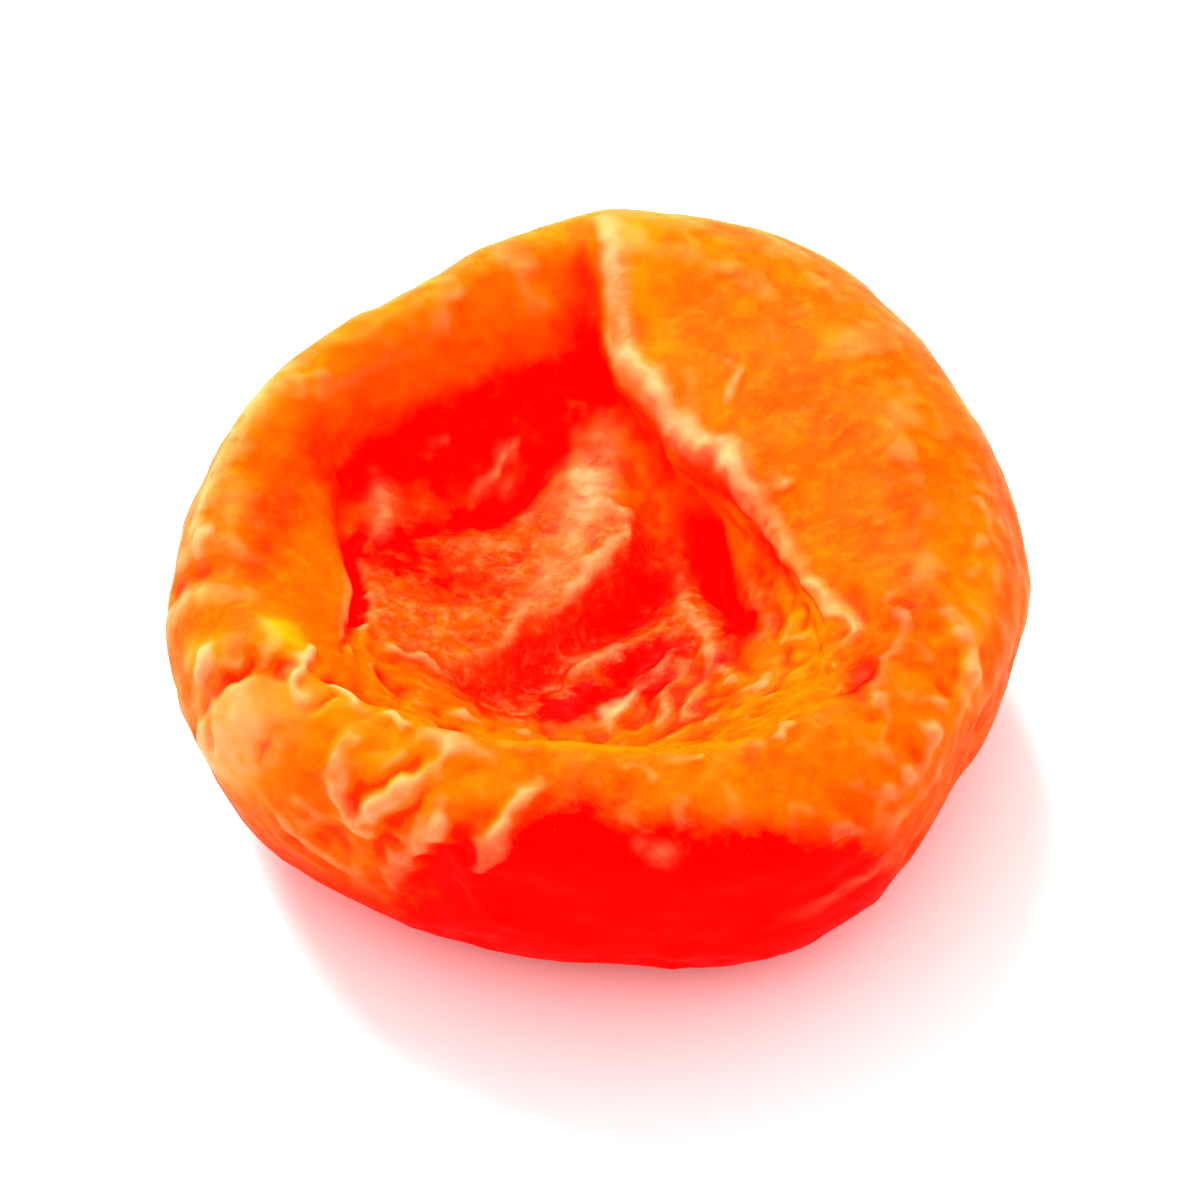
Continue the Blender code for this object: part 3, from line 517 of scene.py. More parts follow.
# Floor, light and camera: lengths in metres, but the sensor's width in millimetres
FLOOR_HALF_SIZE = 1.5
FLOOR_COLOUR = (0.9, 0.9, 0.9, 1.0)
FLOOR_ROUGHNESS = 0.8
KEY_PLACE = (-0.14, 0.29, 0.32)
KEY_SIZE = 0.25
KEY_COLOUR = (1.0, 0.98, 0.95)
WHITE = (1.0, 1.0, 1.0, 1.0)
SENSOR_WIDTH = 36.0


def around(values, azimuth):
    """A smooth closed curve through values spaced evenly around the fruit, read at azimuth (radians)."""
    ring = np.asarray(values)
    place = np.mod(azimuth / math.tau, 1.0) * len(ring)
    step = np.floor(place).astype(int)
    f = place - step
    before, here, after, beyond = (ring[(step + k) % len(ring)] for k in (-1, 0, 1, 2))
    return 0.5 * (2 * here + (after - before) * f
                  + (2 * before - 5 * here + 4 * after - beyond) * f ** 2
                  + (3 * here - before - 3 * after + beyond) * f ** 3)


def section_rings(azimuth):
    """Points of the named rings at each azimuth: one (n, 3) array a ring, hollow first, base last."""
    outline = around(OUTLINE_RADIUS, azimuth)
    mouth = around(MOUTH_RADIUS, azimuth)
    mouth_height = around(MOUTH_HEIGHT, azimuth)
    rim_height = around(RIM_HEIGHT, azimuth)
    widest = around(WIDEST_HEIGHT, azimuth)
    direction = np.stack([np.cos(azimuth), np.sin(azimuth)], axis=1)
    hollow = np.array(HOLLOW_CENTRE)

    def ring(xy, z):
        return np.column_stack([xy, np.broadcast_to(z, azimuth.shape)])

    lip = hollow + direction * mouth[:, None]
    side = direction * outline[:, None]
    share = around(RIM_SHARE, azimuth)[:, None]
    crest = lip + (side - lip) * share
    shoulder = crest + (side - crest) * SHOULDER_RISE
    inside = [ring(hollow + direction * 0.0, FLOOR_MIDDLE)]
    inside += [ring(hollow + (lip - hollow) * share, around(heights, azimuth))
               for share, heights in HOLLOW_RINGS]
    rim = [ring(lip, mouth_height), ring(crest, rim_height),
           ring(shoulder, widest + SHOULDER_RISE * (rim_height - widest))]
    outside = [ring(side * out, up * widest) for out, up in UNDER_RINGS]
    base = [ring(direction * BASE_RADIUS, -BASE_SINK), ring(direction * DIMPLE_RADIUS, DIMPLE_EDGE_HEIGHT),
            ring(direction * 0.0, DIMPLE_DEPTH)]
    return inside + rim + outside + base


def surface(azimuth, station):
    """Points of the smooth fruit, before its folds, at each azimuth (radians) and station."""
    rings = np.stack(section_rings(azimuth))
    t = np.array(STATIONS)
    slope = np.empty_like(rings)
    slope[1:-1] = (rings[2:] - rings[:-2]) / (t[2:] - t[:-2])[:, None, None]
    slope[0] = (rings[1] - rings[0]) / (t[1] - t[0])
    slope[-1] = (rings[-1] - rings[-2]) / (t[-1] - t[-2])
    slope[0, :, 2] = 0.0
    slope[-1, :, 2] = 0.0
    k = np.clip(np.searchsorted(t, station, side="right") - 1, 0, len(t) - 2)
    n = np.arange(len(azimuth))
    span = (t[k + 1] - t[k])[:, None]
    f = (station - t[k])[:, None] / span
    return (rings[k, n] * (1 + 2 * f) * (1 - f) ** 2 + slope[k, n] * span * f * (1 - f) ** 2
            + rings[k + 1, n] * f ** 2 * (3 - 2 * f) - slope[k + 1, n] * span * f ** 2 * (1 - f))


def soft_step(values, start, end):
    """0 before start, 1 after end, and smooth between them."""
    f = np.clip((values - start) / (end - start), 0, 1)
    return f * f * (3 - 2 * f)


def follow(fold):
    """A fold's line and height, cut into short steps."""
    first, second, height = (np.array(column, dtype=float) for column in zip(*fold.route))
    fine = np.linspace(0, len(height) - 1, ROUTE_POINTS)
    return (np.interp(fine, np.arange(len(height)), column) for column in (first, second, height))


def lift_along(points, normals, line, height, fold):
    """How far each point moves out along its normal for one fold that follows line."""
    reach = FOLD_REACH * max(fold.left, fold.right)
    near = ((points > line.min(axis=0) - reach) & (points < line.max(axis=0) + reach)).all(axis=1)
    close, facing = points[near], normals[near]
    nearest = np.full(len(close), np.inf)
    lift = np.zeros(len(close))
    for start, end, low, high in zip(line[:-1], line[1:], height[:-1], height[1:]):
        run = end - start
        f = np.clip((close - start) @ run / max(run @ run, SHORTEST_RUN), 0, 1)
        gap = close - start - f[:, None] * run
        distance = np.linalg.norm(gap, axis=1)
        on_left = np.einsum("nc,nc->n", np.cross(run, gap), facing) > 0
        width = np.where(on_left, fold.left, fold.right)
        here = (low + (high - low) * f) * np.exp(-(distance / width) ** 2)
        lift = np.where(distance < nearest, here, lift)
        nearest = np.minimum(nearest, distance)
    whole = np.zeros(len(points))
    whole[near] = lift
    return whole


def fold_lift(points, normals, folds):
    """The lift of all folds that are given by azimuth and station."""
    total = np.zeros(len(points))
    for fold in folds.values():
        azimuth, station, height = follow(fold)
        total += lift_along(points, normals, surface(np.radians(azimuth), station), height, fold)
    return total


def floor_lift(points, station, folds):
    """The lift of all folds of the hollow's floor, given from above."""
    flat = points * (1, 1, 0)
    up = np.broadcast_to((0.0, 0.0, 1.0), points.shape)
    total = np.zeros(len(points))
    for fold in folds.values():
        x, y, height = follow(fold)
        total += lift_along(flat, up, np.column_stack([x, y, np.zeros_like(x)]), height, fold)
    return total * (1 - soft_step(station, *FLOOR_EDGE))


def belt(azimuth, station, soft, rows):
    """Weight of an area between two stations that change around the fruit."""
    turn, low, high, strength = zip(*rows)
    low, high, strength = (np.interp(np.degrees(azimuth), turn, column, period=360)
                           for column in (low, high, strength))
    inside = soft_step(station, low - soft, low + soft)
    inside *= 1 - soft_step(station, high - soft, high + soft)
    return inside * strength


def squared_block(cells):
    """A cube from -1 to 1 cut into even squares."""
    bm = bmesh.new()
    bmesh.ops.create_cube(bm, size=2.0)
    bmesh.ops.subdivide_edges(bm, edges=bm.edges[:], cuts=cells - 1, use_grid_fill=True)
    return bm


def block_to_skin(corners):
    """Azimuth and station of the cube's points: its squares around +Z and -Z become rings."""
    x, y, z = corners.T
    reach = np.maximum(np.abs(x), np.abs(y))
    safe = np.where(reach > 0, reach, 1.0)
    along_x = np.abs(x) >= np.abs(y)
    turn = np.where(along_x, y * np.sign(x), -x * np.sign(y)) / safe * (math.pi / 4)
    quarter = np.where(along_x, np.where(x < 0, math.pi, 0), np.where(y < 0, -math.pi / 2, math.pi / 2))
    side = MOUTH_STATION + (1 - z) / 2 * (HEEL_STATION - MOUTH_STATION)
    station = np.where(z > BLOCK_FACE, MOUTH_STATION * reach, side)
    station = np.where(z < -BLOCK_FACE, 1 - (1 - HEEL_STATION) * reach, station)
    return turn + quarter, station


def read(items, key, each, kind=np.float32):
    """What a mesh's points, edges or corners store under key, as one row of values an item."""
    flat = np.empty(len(items) * each, dtype=kind)
    items.foreach_get(key, flat)
    return flat.reshape(-1, each)


def read_points(mesh):
    """The mesh's points as an array."""
    return read(mesh.vertices, "co", 3)


def read_normals(mesh):
    """The mesh's point normals as an array."""
    return read(mesh.vertex_normals, "vector", 3)


def read_squares(mesh):
    """The numbers of each square's four points."""
    return read(mesh.loops, "vertex_index", 1, np.int64).reshape(-1, 4)


def write_points(mesh, points):
    """Moves the mesh's points."""
    mesh.vertices.foreach_set("co", np.asarray(points, dtype=np.float32).ravel())
    mesh.update()


def write_attribute(mesh, name, values):
    """Stores one value a point, for the material and for the next step."""
    layer = mesh.attributes.get(name) or mesh.attributes.new(name, "FLOAT", "POINT")
    layer.data.foreach_set("value", np.asarray(values, dtype=np.float32))


def read_attribute(mesh, name):
    """The values that write_attribute stored, after the mesh was divided."""
    return read(mesh.attributes[name].data, "value", 1)[:, 0]


def link_table(pairs, count):
    """For each point, the points that it is linked to, filled up with its own number."""
    both = np.concatenate([pairs, pairs[:, ::-1]])
    both = both[np.argsort(both[:, 0], kind="stable")]
    rank = np.arange(len(both)) - np.searchsorted(both[:, 0], both[:, 0])
    table = np.tile(np.arange(count)[:, None], rank.max() + 1)
    table[both[:, 0], rank] = both[:, 1]
    return table


def skin_links(mesh):
    """Tables of each point's links along the squares' edges and across their corners."""
    edges = read(mesh.edges, "vertices", 2, np.int64)
    squares = read_squares(mesh)
    across = np.concatenate([squares[:, [0, 2]], squares[:, [1, 3]]])
    count = len(mesh.vertices)
    return link_table(edges, count), link_table(across, count)


def grow_skin(mesh, round_growth, section_growth, foundation, bending, steps, seed):
    """Wrinkles the skin: links grow round the fruit and along its section, and the flesh holds them."""
    rest = read_points(mesh)
    normals = read_normals(mesh)
    straight, across = skin_links(mesh)
    links = np.concatenate([straight, across], axis=1)
    strength = np.repeat([1.0, DIAGONAL_STRENGTH], [straight.shape[1], across.shape[1]]).astype(np.float32)
    span = rest[links] - rest[:, None]
    length = np.linalg.norm(span, axis=2)
    held = length > 0
    safe = np.where(held, length, 1.0)
    turn_x, turn_y = read_attribute(mesh, "turn_x"), read_attribute(mesh, "turn_y")
    tangent = np.stack([-turn_y, turn_x, np.zeros_like(turn_x)], axis=1)
    roundness = np.einsum("nkc,nc->nk", span / safe[..., None], tangent) ** 2
    growth = section_growth[:, None] + (round_growth - section_growth)[:, None] * roundness
    growth = 0.5 * (growth + np.where(held, growth.mean(axis=1)[links], growth))
    target = (length * (1 + growth)).astype(np.float32)
    weight = np.where(held, strength, 0.0).astype(np.float32)
    weight[:, straight.shape[1]:] *= DIAGONAL_STRENGTH
    weight /= weight.sum(axis=1, keepdims=True)
    random = np.random.default_rng(seed)
    unevenness = (random.standard_normal(len(rest)) * START_ROUGHNESS).astype(np.float32)
    points = rest + normals * unevenness[:, None]
    speed = np.zeros_like(points)

    def spread(field):
        return np.einsum("nk,nkc->nc", weight, field[links]) - field

    for _ in range(steps):
        span = points[links] - points[:, None]
        now = np.sqrt(np.einsum("nkc,nkc->nk", span, span))
        pull = np.where(held, 1 - target / np.maximum(now, SHORTEST_LINK), 0.0).astype(np.float32) * strength
        force = np.einsum("nk,nkc->nc", pull, span)
        offset = points - rest
        force -= bending * spread(spread(offset))
        rise = np.einsum("nc,nc->n", offset, normals)[:, None]
        firm = np.where(rise > 0, OUTWARD_FIRMNESS, 1.0)
        force -= foundation * (normals * rise * firm + SIDEWAYS_HOLD * (offset - normals * rise))
        speed = DAMPING * (speed + STEP * force)
        points = points + STEP * speed
        points[:, 2] = np.maximum(points[:, 2], 0.0)
    write_points(mesh, points)


def patch(azimuth, station, at, reach):
    """Weight of an oval patch of skin: 1 in its middle, falling softly to 0."""
    turn = np.mod(azimuth - math.radians(at[0]) + math.pi, math.tau) - math.pi
    return np.exp(-(turn / math.radians(reach[0])) ** 2 - ((station - at[1]) / reach[1]) ** 2)


def skin_places(mesh):
    """Azimuth and station of each point, read back from the mesh."""
    azimuth = np.arctan2(read_attribute(mesh, "turn_y"), read_attribute(mesh, "turn_x"))
    return azimuth, read_attribute(mesh, "station")


def clouds(points, size, seed):
    """Smooth random values, about -1 to 1, that change over size millimetres."""
    shift = Vector([seed * way for way in SEED_SHIFT])
    return np.array([noise.noise(Vector(point) + shift) for point in (points / size).tolist()])


def raise_lumps(mesh, lumps, weight=1.0):
    """Moves the mesh's points out and in by soft clouds of the given sizes."""
    points = read_points(mesh)
    lift = weight * sum(height * clouds(points, size, seed) for size, height, seed in lumps)
    write_points(mesh, points + read_normals(mesh) * lift[:, None])


def wander(smooth):
    """The smooth fruit's points moved a little, so that what is drawn along a line gets uneven edges."""
    moved = smooth.copy()
    bends = [clouds(smooth, WANDER_SIZE, seed) for seed in WANDER_SEEDS]
    moved[:, :2] += EDGE_WANDER * np.column_stack(bends)
    return moved


def raise_folds(mesh, smooth, station, folds, floor_folds, unevenness=0.0):
    """Moves the mesh's points out along their normals by the folds near them on the smooth fruit."""
    normals = read_normals(mesh)
    lift = fold_lift(smooth, normals, folds) + floor_lift(smooth, station, floor_folds)
    lift *= 1 + unevenness * clouds(smooth, WANDER_SIZE, UNEVENNESS_SEED)
    write_points(mesh, read_points(mesh) + normals * lift[:, None])


def smooth_apricot(shape):
    """The fruit's section with its broad folds, as a mesh of even squares in millimetres."""
    bm = squared_block(shape.coarse_cells)
    azimuth, station = block_to_skin(np.array([vert.co for vert in bm.verts]))
    points = surface(azimuth, station)
    mesh = bpy.data.meshes.new("dried_apricot_skin")
    bm.to_mesh(mesh)
    bm.free()
    write_points(mesh, points)
    raise_folds(mesh, points, station, BROAD_FOLDS, FLOOR_FOLDS)
    raise_lumps(mesh, BROAD_LUMPS)
    write_attribute(mesh, "turn_x", np.cos(azimuth))
    write_attribute(mesh, "turn_y", np.sin(azimuth))
    write_attribute(mesh, "station", station)
    return mesh


def divide(mesh):
    """Each square becomes four, on a smooth surface."""
    holder = bpy.data.objects.new("skin_holder", mesh)
    bpy.context.scene.collection.objects.link(holder)
    modifier = holder.modifiers.new("divide", "SUBSURF")
    modifier.levels = 1
    modifier.render_levels = 1
    evaluated = holder.evaluated_get(bpy.context.evaluated_depsgraph_get())
    finer = bpy.data.meshes.new_from_object(evaluated)
    bpy.data.objects.remove(holder, do_unlink=True)
    return finer


def region_weights(azimuth, station):
    """How much each point belongs to each region of the skin."""
    weights = {name: patch(azimuth, station, *place) for name, place in PATCHES.items()}
    weights["everywhere"] = np.ones_like(station)
    weights["hollow"] = 1 - soft_step(station, *HOLLOW_END)
    weights["underside"] = soft_step(station, *UNDERSIDE_START)
    weights["outside"] = soft_step(station, *OUTSIDE_START) * (1 - weights["underside"])
    weights["pebbled"] = np.clip(weights["near rim"] + weights["right rim"], 0, 1)
    return weights


def wrinkle(mesh, growth, skin, steps):
    """Grows the skin by its regions' growth, made uneven by soft clouds."""
    bending, foundation, unevenness, cloud_size, seed = skin
    weights = region_weights(*skin_places(mesh))
    uneven = 1 + unevenness * clouds(read_points(mesh), cloud_size, seed)
    round_growth, section_growth = (
        sum(weights[name] * pair[way] for name, pair in growth.items()) * uneven for way in (0, 1))
    grow_skin(mesh, round_growth, section_growth, foundation, bending, steps, seed)


def find_shelter(mesh):
    """Stores the share of outward directions in which nearby flesh or the ground hides a point."""
    points, normals = read_points(mesh), read_normals(mesh)
    tree = BVHTree.FromPolygons(points.tolist(), read_squares(mesh).tolist())
    index = np.arange(SHELTER_RAYS) + 0.5
    height = 1 - 2 * index / SHELTER_RAYS
    turn = index * math.pi * (3 - math.sqrt(5))
    ball = np.column_stack([np.sqrt(1 - height ** 2) * np.cos(turn), np.sqrt(1 - height ** 2) * np.sin(turn),
                            height])
    sheltered = np.zeros(len(points))
    for number, (point, normal) in enumerate(zip(points, normals)):
        start = Vector((point + normal * SHELTER_LIFT).tolist())
        for ray in ball:
            towards = Vector((ray + normal).tolist()).normalized()
            if tree.ray_cast(start, towards, SHELTER_REACH)[0] is not None:
                sheltered[number] += 1
            elif start.z + towards.z * SHELTER_REACH < 0:
                sheltered[number] += 1
    write_attribute(mesh, "sheltered", sheltered / SHELTER_RAYS)


def fit_to_solid(mesh):
    """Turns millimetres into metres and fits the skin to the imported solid's box."""
    points = read_points(mesh).astype(float)
    points[:, 2] = np.maximum(points[:, 2], 0.0)
    low, high = points.min(axis=0), points.max(axis=0)
    box_low, box_high = (np.array(corner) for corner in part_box(NODE))
    write_points(mesh, box_low + (points - low) * (box_high - box_low) / (high - low))


def mark_skin(mesh):
    """Stores where the skin is creased or raised, its painted highlights in pale, its painted shade in red,
    partly moist flesh, and its painted light in yellow.
    """
    azimuth, station = skin_places(mesh)
    points = read_points(mesh).astype(float) / MM
    normals = read_normals(mesh)
    straight, _ = skin_links(mesh)
    soft = points.copy()
    for _ in range(RISE_PASSES):
        soft = 0.5 * soft + 0.5 * soft[straight].mean(axis=1)
    rise = np.einsum("nc,nc->n", points - soft, normals)
    write_attribute(mesh, "rise", np.clip(rise / RISE_RANGE, -1, 1))
    smooth = wander(surface(azimuth, station))
    # Painted highlights, partly dry skin
    pale_skin_and_highlight = fold_lift(smooth, normals, PALE_HIGHLIGHT_ZONES) + floor_lift(smooth, station, PALE_HIGHLIGHT_FLOOR)
    write_attribute(mesh, "pale_highlight_zone", np.clip(pale_skin_and_highlight, 0, 1))
    # Painted light
    painted_light = fold_lift(smooth, normals, YELLOW_LIGHT_ZONES) + floor_lift(smooth, station, YELLOW_LIGHT_FLOOR)
    ragged = BELT_RAGGEDNESS * clouds(smooth, RAGGED_SIZE, RAGGED_SEED)
    # Painted shade in red, partly moist flesh
    red = fold_lift(smooth, normals, RED_SHADE_ZONES) + floor_lift(smooth, station, RED_SHADE_FLOOR)
    red += sum(belt(azimuth, station + ragged, soft, rows) for soft, rows in RED_SHADE_BELTS.values())
    x, y, reach_x, reach_y, strength = MOIST_AND_SHADED_FLOOR
    apart = np.hypot((smooth[:, 0] - x) / reach_x, (smooth[:, 1] - y) / reach_y)
    apart = apart + soft_step(station, *FLOOR_EDGE)
    red += strength * (1 - soft_step(apart, *MOIST_AND_SHADE_EDGE))
    write_attribute(mesh, "red_shade_zone", np.clip(red, 0, DEEPEST_RED))
    write_attribute(mesh, "yellow_light_zone", np.clip(painted_light, 0, 1))
    write_attribute(mesh, "grainy", 1 - soft_step(apart, *GRAINY_EDGE))


def skin_material(look):
    """Translucent orange skin with a faint waxy shine, painted highlights and painted light, redder in the
    hollow and in the creases by painted shade, partly moist flesh.
    """
    material = bpy.data.materials.new("apricot_skin")
    material.use_nodes = True
    nodes, links = material.node_tree.nodes, material.node_tree.links
    skin = nodes["Principled BSDF"]

    def attribute(name):
        node = nodes.new("ShaderNodeAttribute")
        node.attribute_name = name
        return node.outputs["Fac"]

    def grains(scale, detail, roughness, kind="FBM"):
        node = nodes.new("ShaderNodeTexNoise")
        node.noise_type = kind
        node.inputs["Scale"].default_value = scale
        node.inputs["Detail"].default_value = detail
        node.inputs["Roughness"].default_value = roughness
        links.new(place.outputs["Object"], node.inputs["Vector"])
        return node.outputs["Fac"]

    def band(value, low, high, least, most):
        node = nodes.new("ShaderNodeMapRange")
        node.inputs["From Min"].default_value = low
        node.inputs["From Max"].default_value = high
        node.inputs["To Min"].default_value = least
        node.inputs["To Max"].default_value = most
        links.new(value, node.inputs["Value"])
        return node.outputs["Result"]

    def speckles(noise_values, span):
        return band(grains(*noise_values), *span)

    def tint(under, over, factor):
        node = nodes.new("ShaderNodeMix")
        node.data_type = "RGBA"
        if isinstance(under, bpy.types.NodeSocket):
            links.new(under, node.inputs["A"])
        else:
            node.inputs["A"].default_value = (*under, 1.0)
        node.inputs["B"].default_value = (*over, 1.0)
        links.new(factor, node.inputs["Factor"])
        return node.outputs["Result"]

    def combine(operation, first, second):
        node = nodes.new("ShaderNodeMath")
        node.operation = operation
        links.new(first, node.inputs[0])
        if isinstance(second, bpy.types.NodeSocket):
            links.new(second, node.inputs[1])
        else:
            node.inputs[1].default_value = second
        return node.outputs[0]

    place = nodes.new("ShaderNodeTexCoord")
    colour = look.skin
    for name, source, span in COATS:
        value = attribute(source) if isinstance(source, str) else grains(*source)
        colour = tint(colour, getattr(look, name), band(value, *span))
    # Painted highlight: pale on raised crests that nothing shelters
    painted_crest_highlight = combine("MULTIPLY", band(attribute("rise"), *CREST_PALE),
                         band(attribute("sheltered"), *CREST_OPEN))
    colour = tint(colour, look.pale_skin_and_highlight, painted_crest_highlight)
    # Painted shade in red, partly moist flesh, broken up by speckles
    moist_and_shade = combine("MULTIPLY", attribute("red_shade_zone"), speckles(*MOIST_AND_SHADE_NOISE))
    colour = tint(colour, look.moist_red_and_shade, band(moist_and_shade, *MOIST_AND_SHADE_RED))
    grit = combine("MULTIPLY", speckles(*GRIT_NOISE), attribute("grainy"))
    colour = tint(colour, look.pale_skin_and_highlight, combine("MULTIPLY", grit, band(moist_and_shade, *GRIT_OUTSIDE_MOIST_AND_SHADE)))
    # Painted highlights of the pale zones, partly dry skin, broken up by speckles
    dry_and_highlight = combine("MULTIPLY", band(attribute("pale_highlight_zone"), *DRY_AND_HIGHLIGHT_PALE), speckles(*DRY_AND_HIGHLIGHT_NOISE))
    colour = tint(colour, look.pale_skin_and_highlight, dry_and_highlight)
    links.new(colour, skin.inputs["Base Color"])

    fine = grains(*FINE_NOISE)
    grain = combine("ADD", fine, combine("MULTIPLY", grains(*CRINKLE_NOISE), CRINKLE_SHARE))
    smoother, rougher = (look.roughness + change for change in ROUGHNESS_CHANGE)
    links.new(band(fine, *ROUGHNESS_SPAN, smoother, rougher), skin.inputs["Roughness"])
    bump = nodes.new("ShaderNodeBump")
    bump.inputs["Strength"].default_value = RELIEF_STRENGTH
    bump.inputs["Distance"].default_value = RELIEF_DEPTH
    links.new(grain, bump.inputs["Height"])
    links.new(bump.outputs["Normal"], skin.inputs["Normal"])
    skin.inputs["Subsurface Weight"].default_value = look.translucency
    skin.inputs["Subsurface Radius"].default_value = GLOW_REACH
    skin.inputs["Subsurface Scale"].default_value = look.glow_depth
    skin.inputs["Specular IOR Level"].default_value = look.shine
    return material


class ApricotShape(bpy.types.PropertyGroup):
    """How finely the fruit is modelled and wrinkled."""
    coarse_cells: IntProperty(name="Squares", description="Squares along each edge of the block before "
                              "it is divided once more", default=62, min=8, max=62)
    large_steps: IntProperty(name="Large wrinkle steps", description="Steps of growth that make the broad "
                             "wrinkles", default=260, min=0)
    small_steps: IntProperty(name="Small wrinkle steps", description="Steps of growth that make the fine "
                             "wrinkles", default=240, min=0)


class ApricotLook(bpy.types.PropertyGroup):
    """Colours and finish of the skin, with its painted shade, painted light and painted highlights."""
    skin: FloatVectorProperty(name="Skin", description="Main colour of the skin", subtype="COLOR",
                              size=3, min=0, max=1, default=(1.0, 0.085, 0.0))
    yellow: FloatVectorProperty(name="Yellow", description="Lighter, yellower spots", subtype="COLOR",
                                size=3, min=0, max=1, default=(1.0, 0.17, 0.002))
    # Colour of the spot on the rim, partly the skin's own yellow, and of the painted light in the yellow
    # zones
    spot_and_painted_light: FloatVectorProperty(name="Spot", description="The spot on the rim and the other yellow zones",
                              subtype="COLOR", size=3, min=0, max=1, default=(1.0, 0.24, 0.004))
    # Red of the skin's random small spots, and painted shade where nearby flesh shelters the skin
    red: FloatVectorProperty(name="Red", description="Small spots, and skin that nearby flesh shelters",
                             subtype="COLOR", size=3, min=0, max=1, default=(1.0, 0.022, 0.0))
    # Deep red of moist flesh, and of the painted shade in the creases and the red zones
    moist_red_and_shade: FloatVectorProperty(name="Deep red", description="Moist flesh and the bottom of the creases",
                              subtype="COLOR", size=3, min=0, max=1, default=(1.0, 0.001, 0.0))
    # Pale of dry skin and of the painted highlights on the ridges
    pale_skin_and_highlight: FloatVectorProperty(name="Pale", description="Dry skin on the ridges of the wrinkles",
                              subtype="COLOR", size=3, min=0, max=1, default=(1.0, 0.28, 0.14))
    roughness: FloatProperty(name="Roughness", description="Roughness of the skin", subtype="FACTOR",
                             min=0, max=1, default=0.45)
    shine: FloatProperty(name="Shine", description="Strength of the skin's shine", subtype="FACTOR",
                         min=0, max=1, default=0.02)
    translucency: FloatProperty(name="Translucency", description="Share of the light that goes through "
                                "the flesh", subtype="FACTOR", min=0, max=1, default=0.35)
    glow_depth: FloatProperty(name="Glow depth", description="How far red light travels in the flesh",
                              unit="LENGTH", subtype="DISTANCE", min=0, default=0.0025)


class ApricotStage(bpy.types.PropertyGroup):
    """Floor, lights and camera."""
    elevation: FloatProperty(name="Elevation", description="Camera's height over the horizon",
                             subtype="ANGLE", unit="ROTATION", default=math.radians(48))
    distance: FloatProperty(name="Distance", description="From the camera to the fruit", unit="LENGTH",
                            subtype="DISTANCE", default=0.42)
    framed_width: FloatProperty(name="Framed width", description="Width of the picture at the fruit",
                                unit="LENGTH", subtype="DISTANCE", default=0.046)
    key_power: FloatProperty(name="Key light", description="Power in watts of the soft light behind the "
                             "fruit on its left", default=4.0, min=0)
    fill: FloatProperty(name="Fill", description="Brightness of the white surroundings", default=1.0,
                        min=0)


class APRICOT_OT_fruit(bpy.types.Operator):
    """Models the dried apricot around its solid and gives it its skin"""
    bl_idname = "apricot.fruit"
    bl_label = "Dried apricot"

    def execute(self, context):
        scene = context.scene
        mesh = smooth_apricot(scene.apricot_shape)
        wrinkle(mesh, LARGE_GROWTH, LARGE_SKIN, scene.apricot_shape.large_steps)
        find_shelter(mesh)
        mesh = divide(mesh)
        azimuth, station = skin_places(mesh)
        raise_folds(mesh, wander(surface(azimuth, station)), station, FINE_FOLDS, FLOOR_CREASES,
                    FOLD_UNEVENNESS)
        raise_lumps(mesh, FINE_LUMPS)
        raise_lumps(mesh, PEBBLES, region_weights(azimuth, station)["pebbled"])
        raise_lumps(mesh, FLOOR_LUMPS, region_weights(azimuth, station)["hollow"])
        wrinkle(mesh, SMALL_GROWTH, SMALL_SKIN, scene.apricot_shape.small_steps)
        fit_to_solid(mesh)
        mark_skin(mesh)
        mesh.shade_smooth()
        mesh.materials.clear()
        mesh.materials.append(skin_material(scene.apricot_look))
        fruit = bpy.data.objects.new("apricot_fruit", mesh)
        scene.collection.objects.link(fruit)
        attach(fruit, "root")
        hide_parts(NODE)
        return {"FINISHED"}


def floor_material():
    """Plain white matt floor."""
    material = bpy.data.materials.new("white_floor")
    material.use_nodes = True
    paper = material.node_tree.nodes["Principled BSDF"]
    paper.inputs["Base Color"].default_value = FLOOR_COLOUR
    paper.inputs["Roughness"].default_value = FLOOR_ROUGHNESS
    return material


def soft_light(name, place, target, size, power, colour):
    """A square soft light that looks at target."""
    data = bpy.data.lights.new(name, "AREA")
    data.shape = "SQUARE"
    data.size = size
    data.energy = power
    data.color = colour
    light = bpy.data.objects.new(name, data)
    light.location = place
    light.rotation_euler = (Vector(target) - Vector(place)).to_track_quat("-Z", "Y").to_euler()
    bpy.context.scene.collection.objects.link(light)


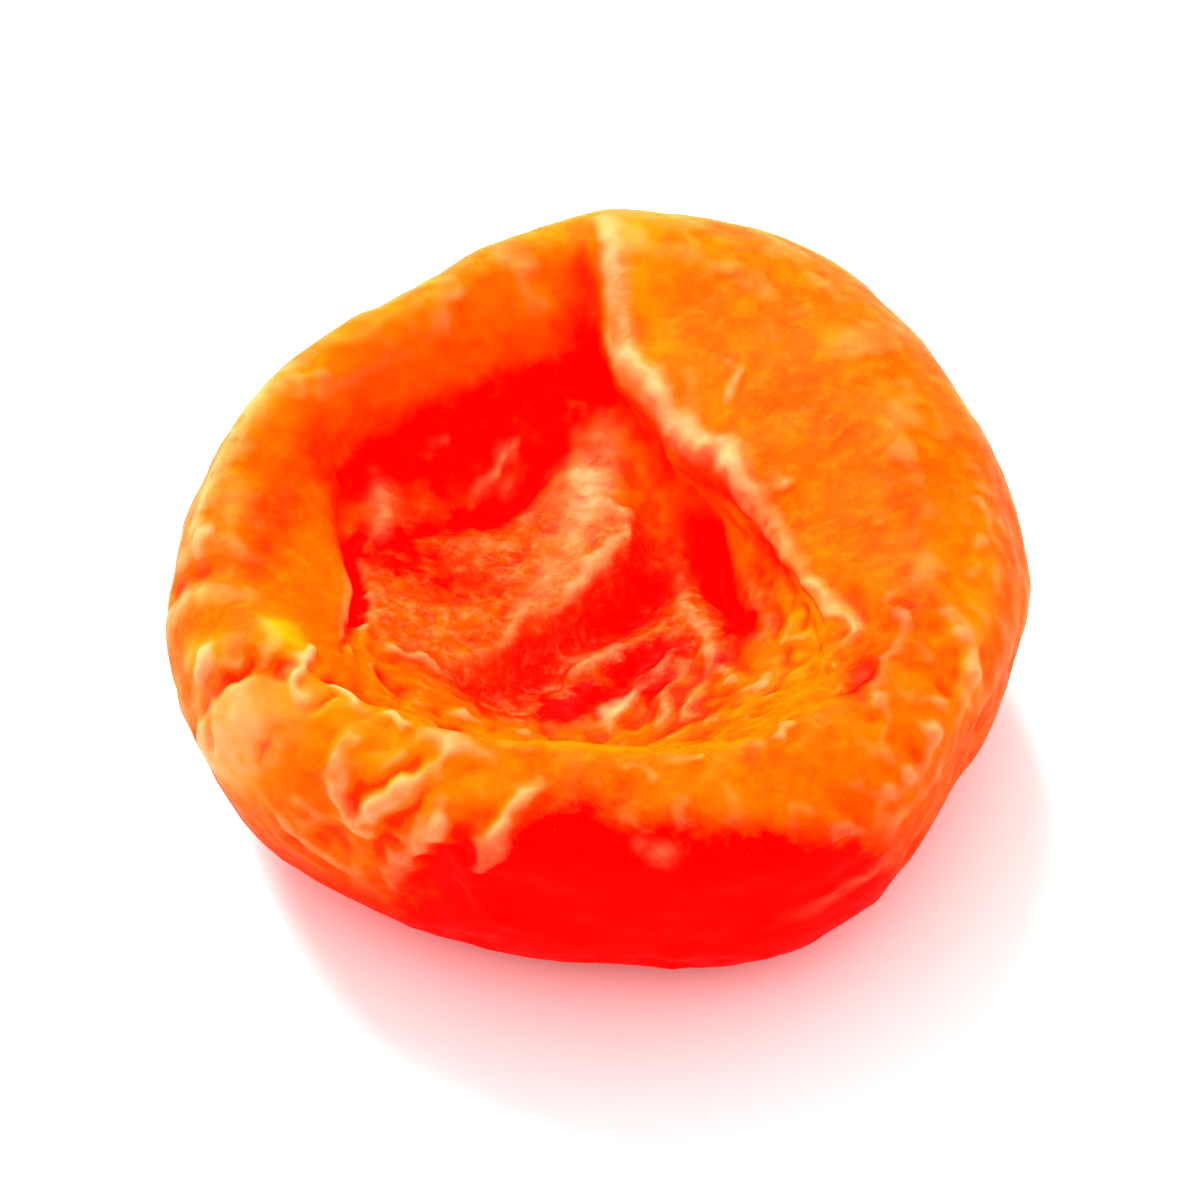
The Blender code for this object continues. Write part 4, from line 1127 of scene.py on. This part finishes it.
class APRICOT_OT_stage(bpy.types.Operator):
    """Lays the pale floor, hangs the soft lights and sets up the camera"""
    bl_idname = "apricot.stage"
    bl_label = "Stage"

    def execute(self, context):
        scene = context.scene
        stage = scene.apricot_stage
        low, high = (Vector(corner) for corner in CAD_BOX)
        middle = (low + high) / 2

        bm = bmesh.new()
        bmesh.ops.create_grid(bm, x_segments=1, y_segments=1, size=FLOOR_HALF_SIZE)
        mesh = bpy.data.meshes.new("floor")
        bm.to_mesh(mesh)
        bm.free()
        mesh.materials.append(floor_material())
        floor = bpy.data.objects.new("floor", mesh)
        scene.collection.objects.link(floor)

        soft_light("key_light", KEY_PLACE, middle, KEY_SIZE, stage.key_power, KEY_COLOUR)
        world = bpy.data.worlds.new("white_surroundings")
        world.use_nodes = True
        surroundings = world.node_tree.nodes["Background"]
        surroundings.inputs["Color"].default_value = WHITE
        surroundings.inputs["Strength"].default_value = stage.fill
        scene.world = world
        scene.view_settings.view_transform = "Standard"
        scene.view_settings.look = "High Contrast"

        data = bpy.data.cameras.new("camera")
        data.sensor_width = SENSOR_WIDTH
        data.lens = data.sensor_width * stage.distance / stage.framed_width
        camera = bpy.data.objects.new("camera", data)
        back = Vector((0.0, -math.cos(stage.elevation), math.sin(stage.elevation)))
        camera.location = middle + back * stage.distance
        camera.rotation_euler = (-back).to_track_quat("-Z", "Y").to_euler()
        scene.collection.objects.link(camera)
        scene.camera = camera
        return {"FINISHED"}


class APRICOT_PT_panel(bpy.types.Panel):
    """Lists the fruit, its look and its stage"""
    bl_idname = "APRICOT_PT_panel"
    bl_label = "Dried apricot"
    bl_space_type = "VIEW_3D"
    bl_region_type = "UI"
    bl_category = "Apricot"

    def draw(self, context):
        scene = context.scene
        for group, operator in ((scene.apricot_shape, "apricot.fruit"), (scene.apricot_look, None),
                                (scene.apricot_stage, "apricot.stage")):
            box = self.layout.box()
            for name in group.bl_rna.properties.keys():
                if name not in ("rna_type", "name"):
                    box.prop(group, name)
            if operator:
                box.operator(operator)


CLASSES = (ApricotShape, ApricotLook, ApricotStage, APRICOT_OT_fruit, APRICOT_OT_stage, APRICOT_PT_panel)


def register():
    """Adds the properties, operators and panel."""
    for cls in CLASSES:
        bpy.utils.register_class(cls)
    bpy.types.Scene.apricot_shape = PointerProperty(type=ApricotShape)
    bpy.types.Scene.apricot_look = PointerProperty(type=ApricotLook)
    bpy.types.Scene.apricot_stage = PointerProperty(type=ApricotStage)


def unregister():
    """Removes them again."""
    del bpy.types.Scene.apricot_stage
    del bpy.types.Scene.apricot_look
    del bpy.types.Scene.apricot_shape
    for cls in reversed(CLASSES):
        bpy.utils.unregister_class(cls)


def main():
    """Builds the fruit and its stage."""
    register()
    bpy.ops.apricot.fruit()
    bpy.ops.apricot.stage()


if __name__ == "__main__":
    main()
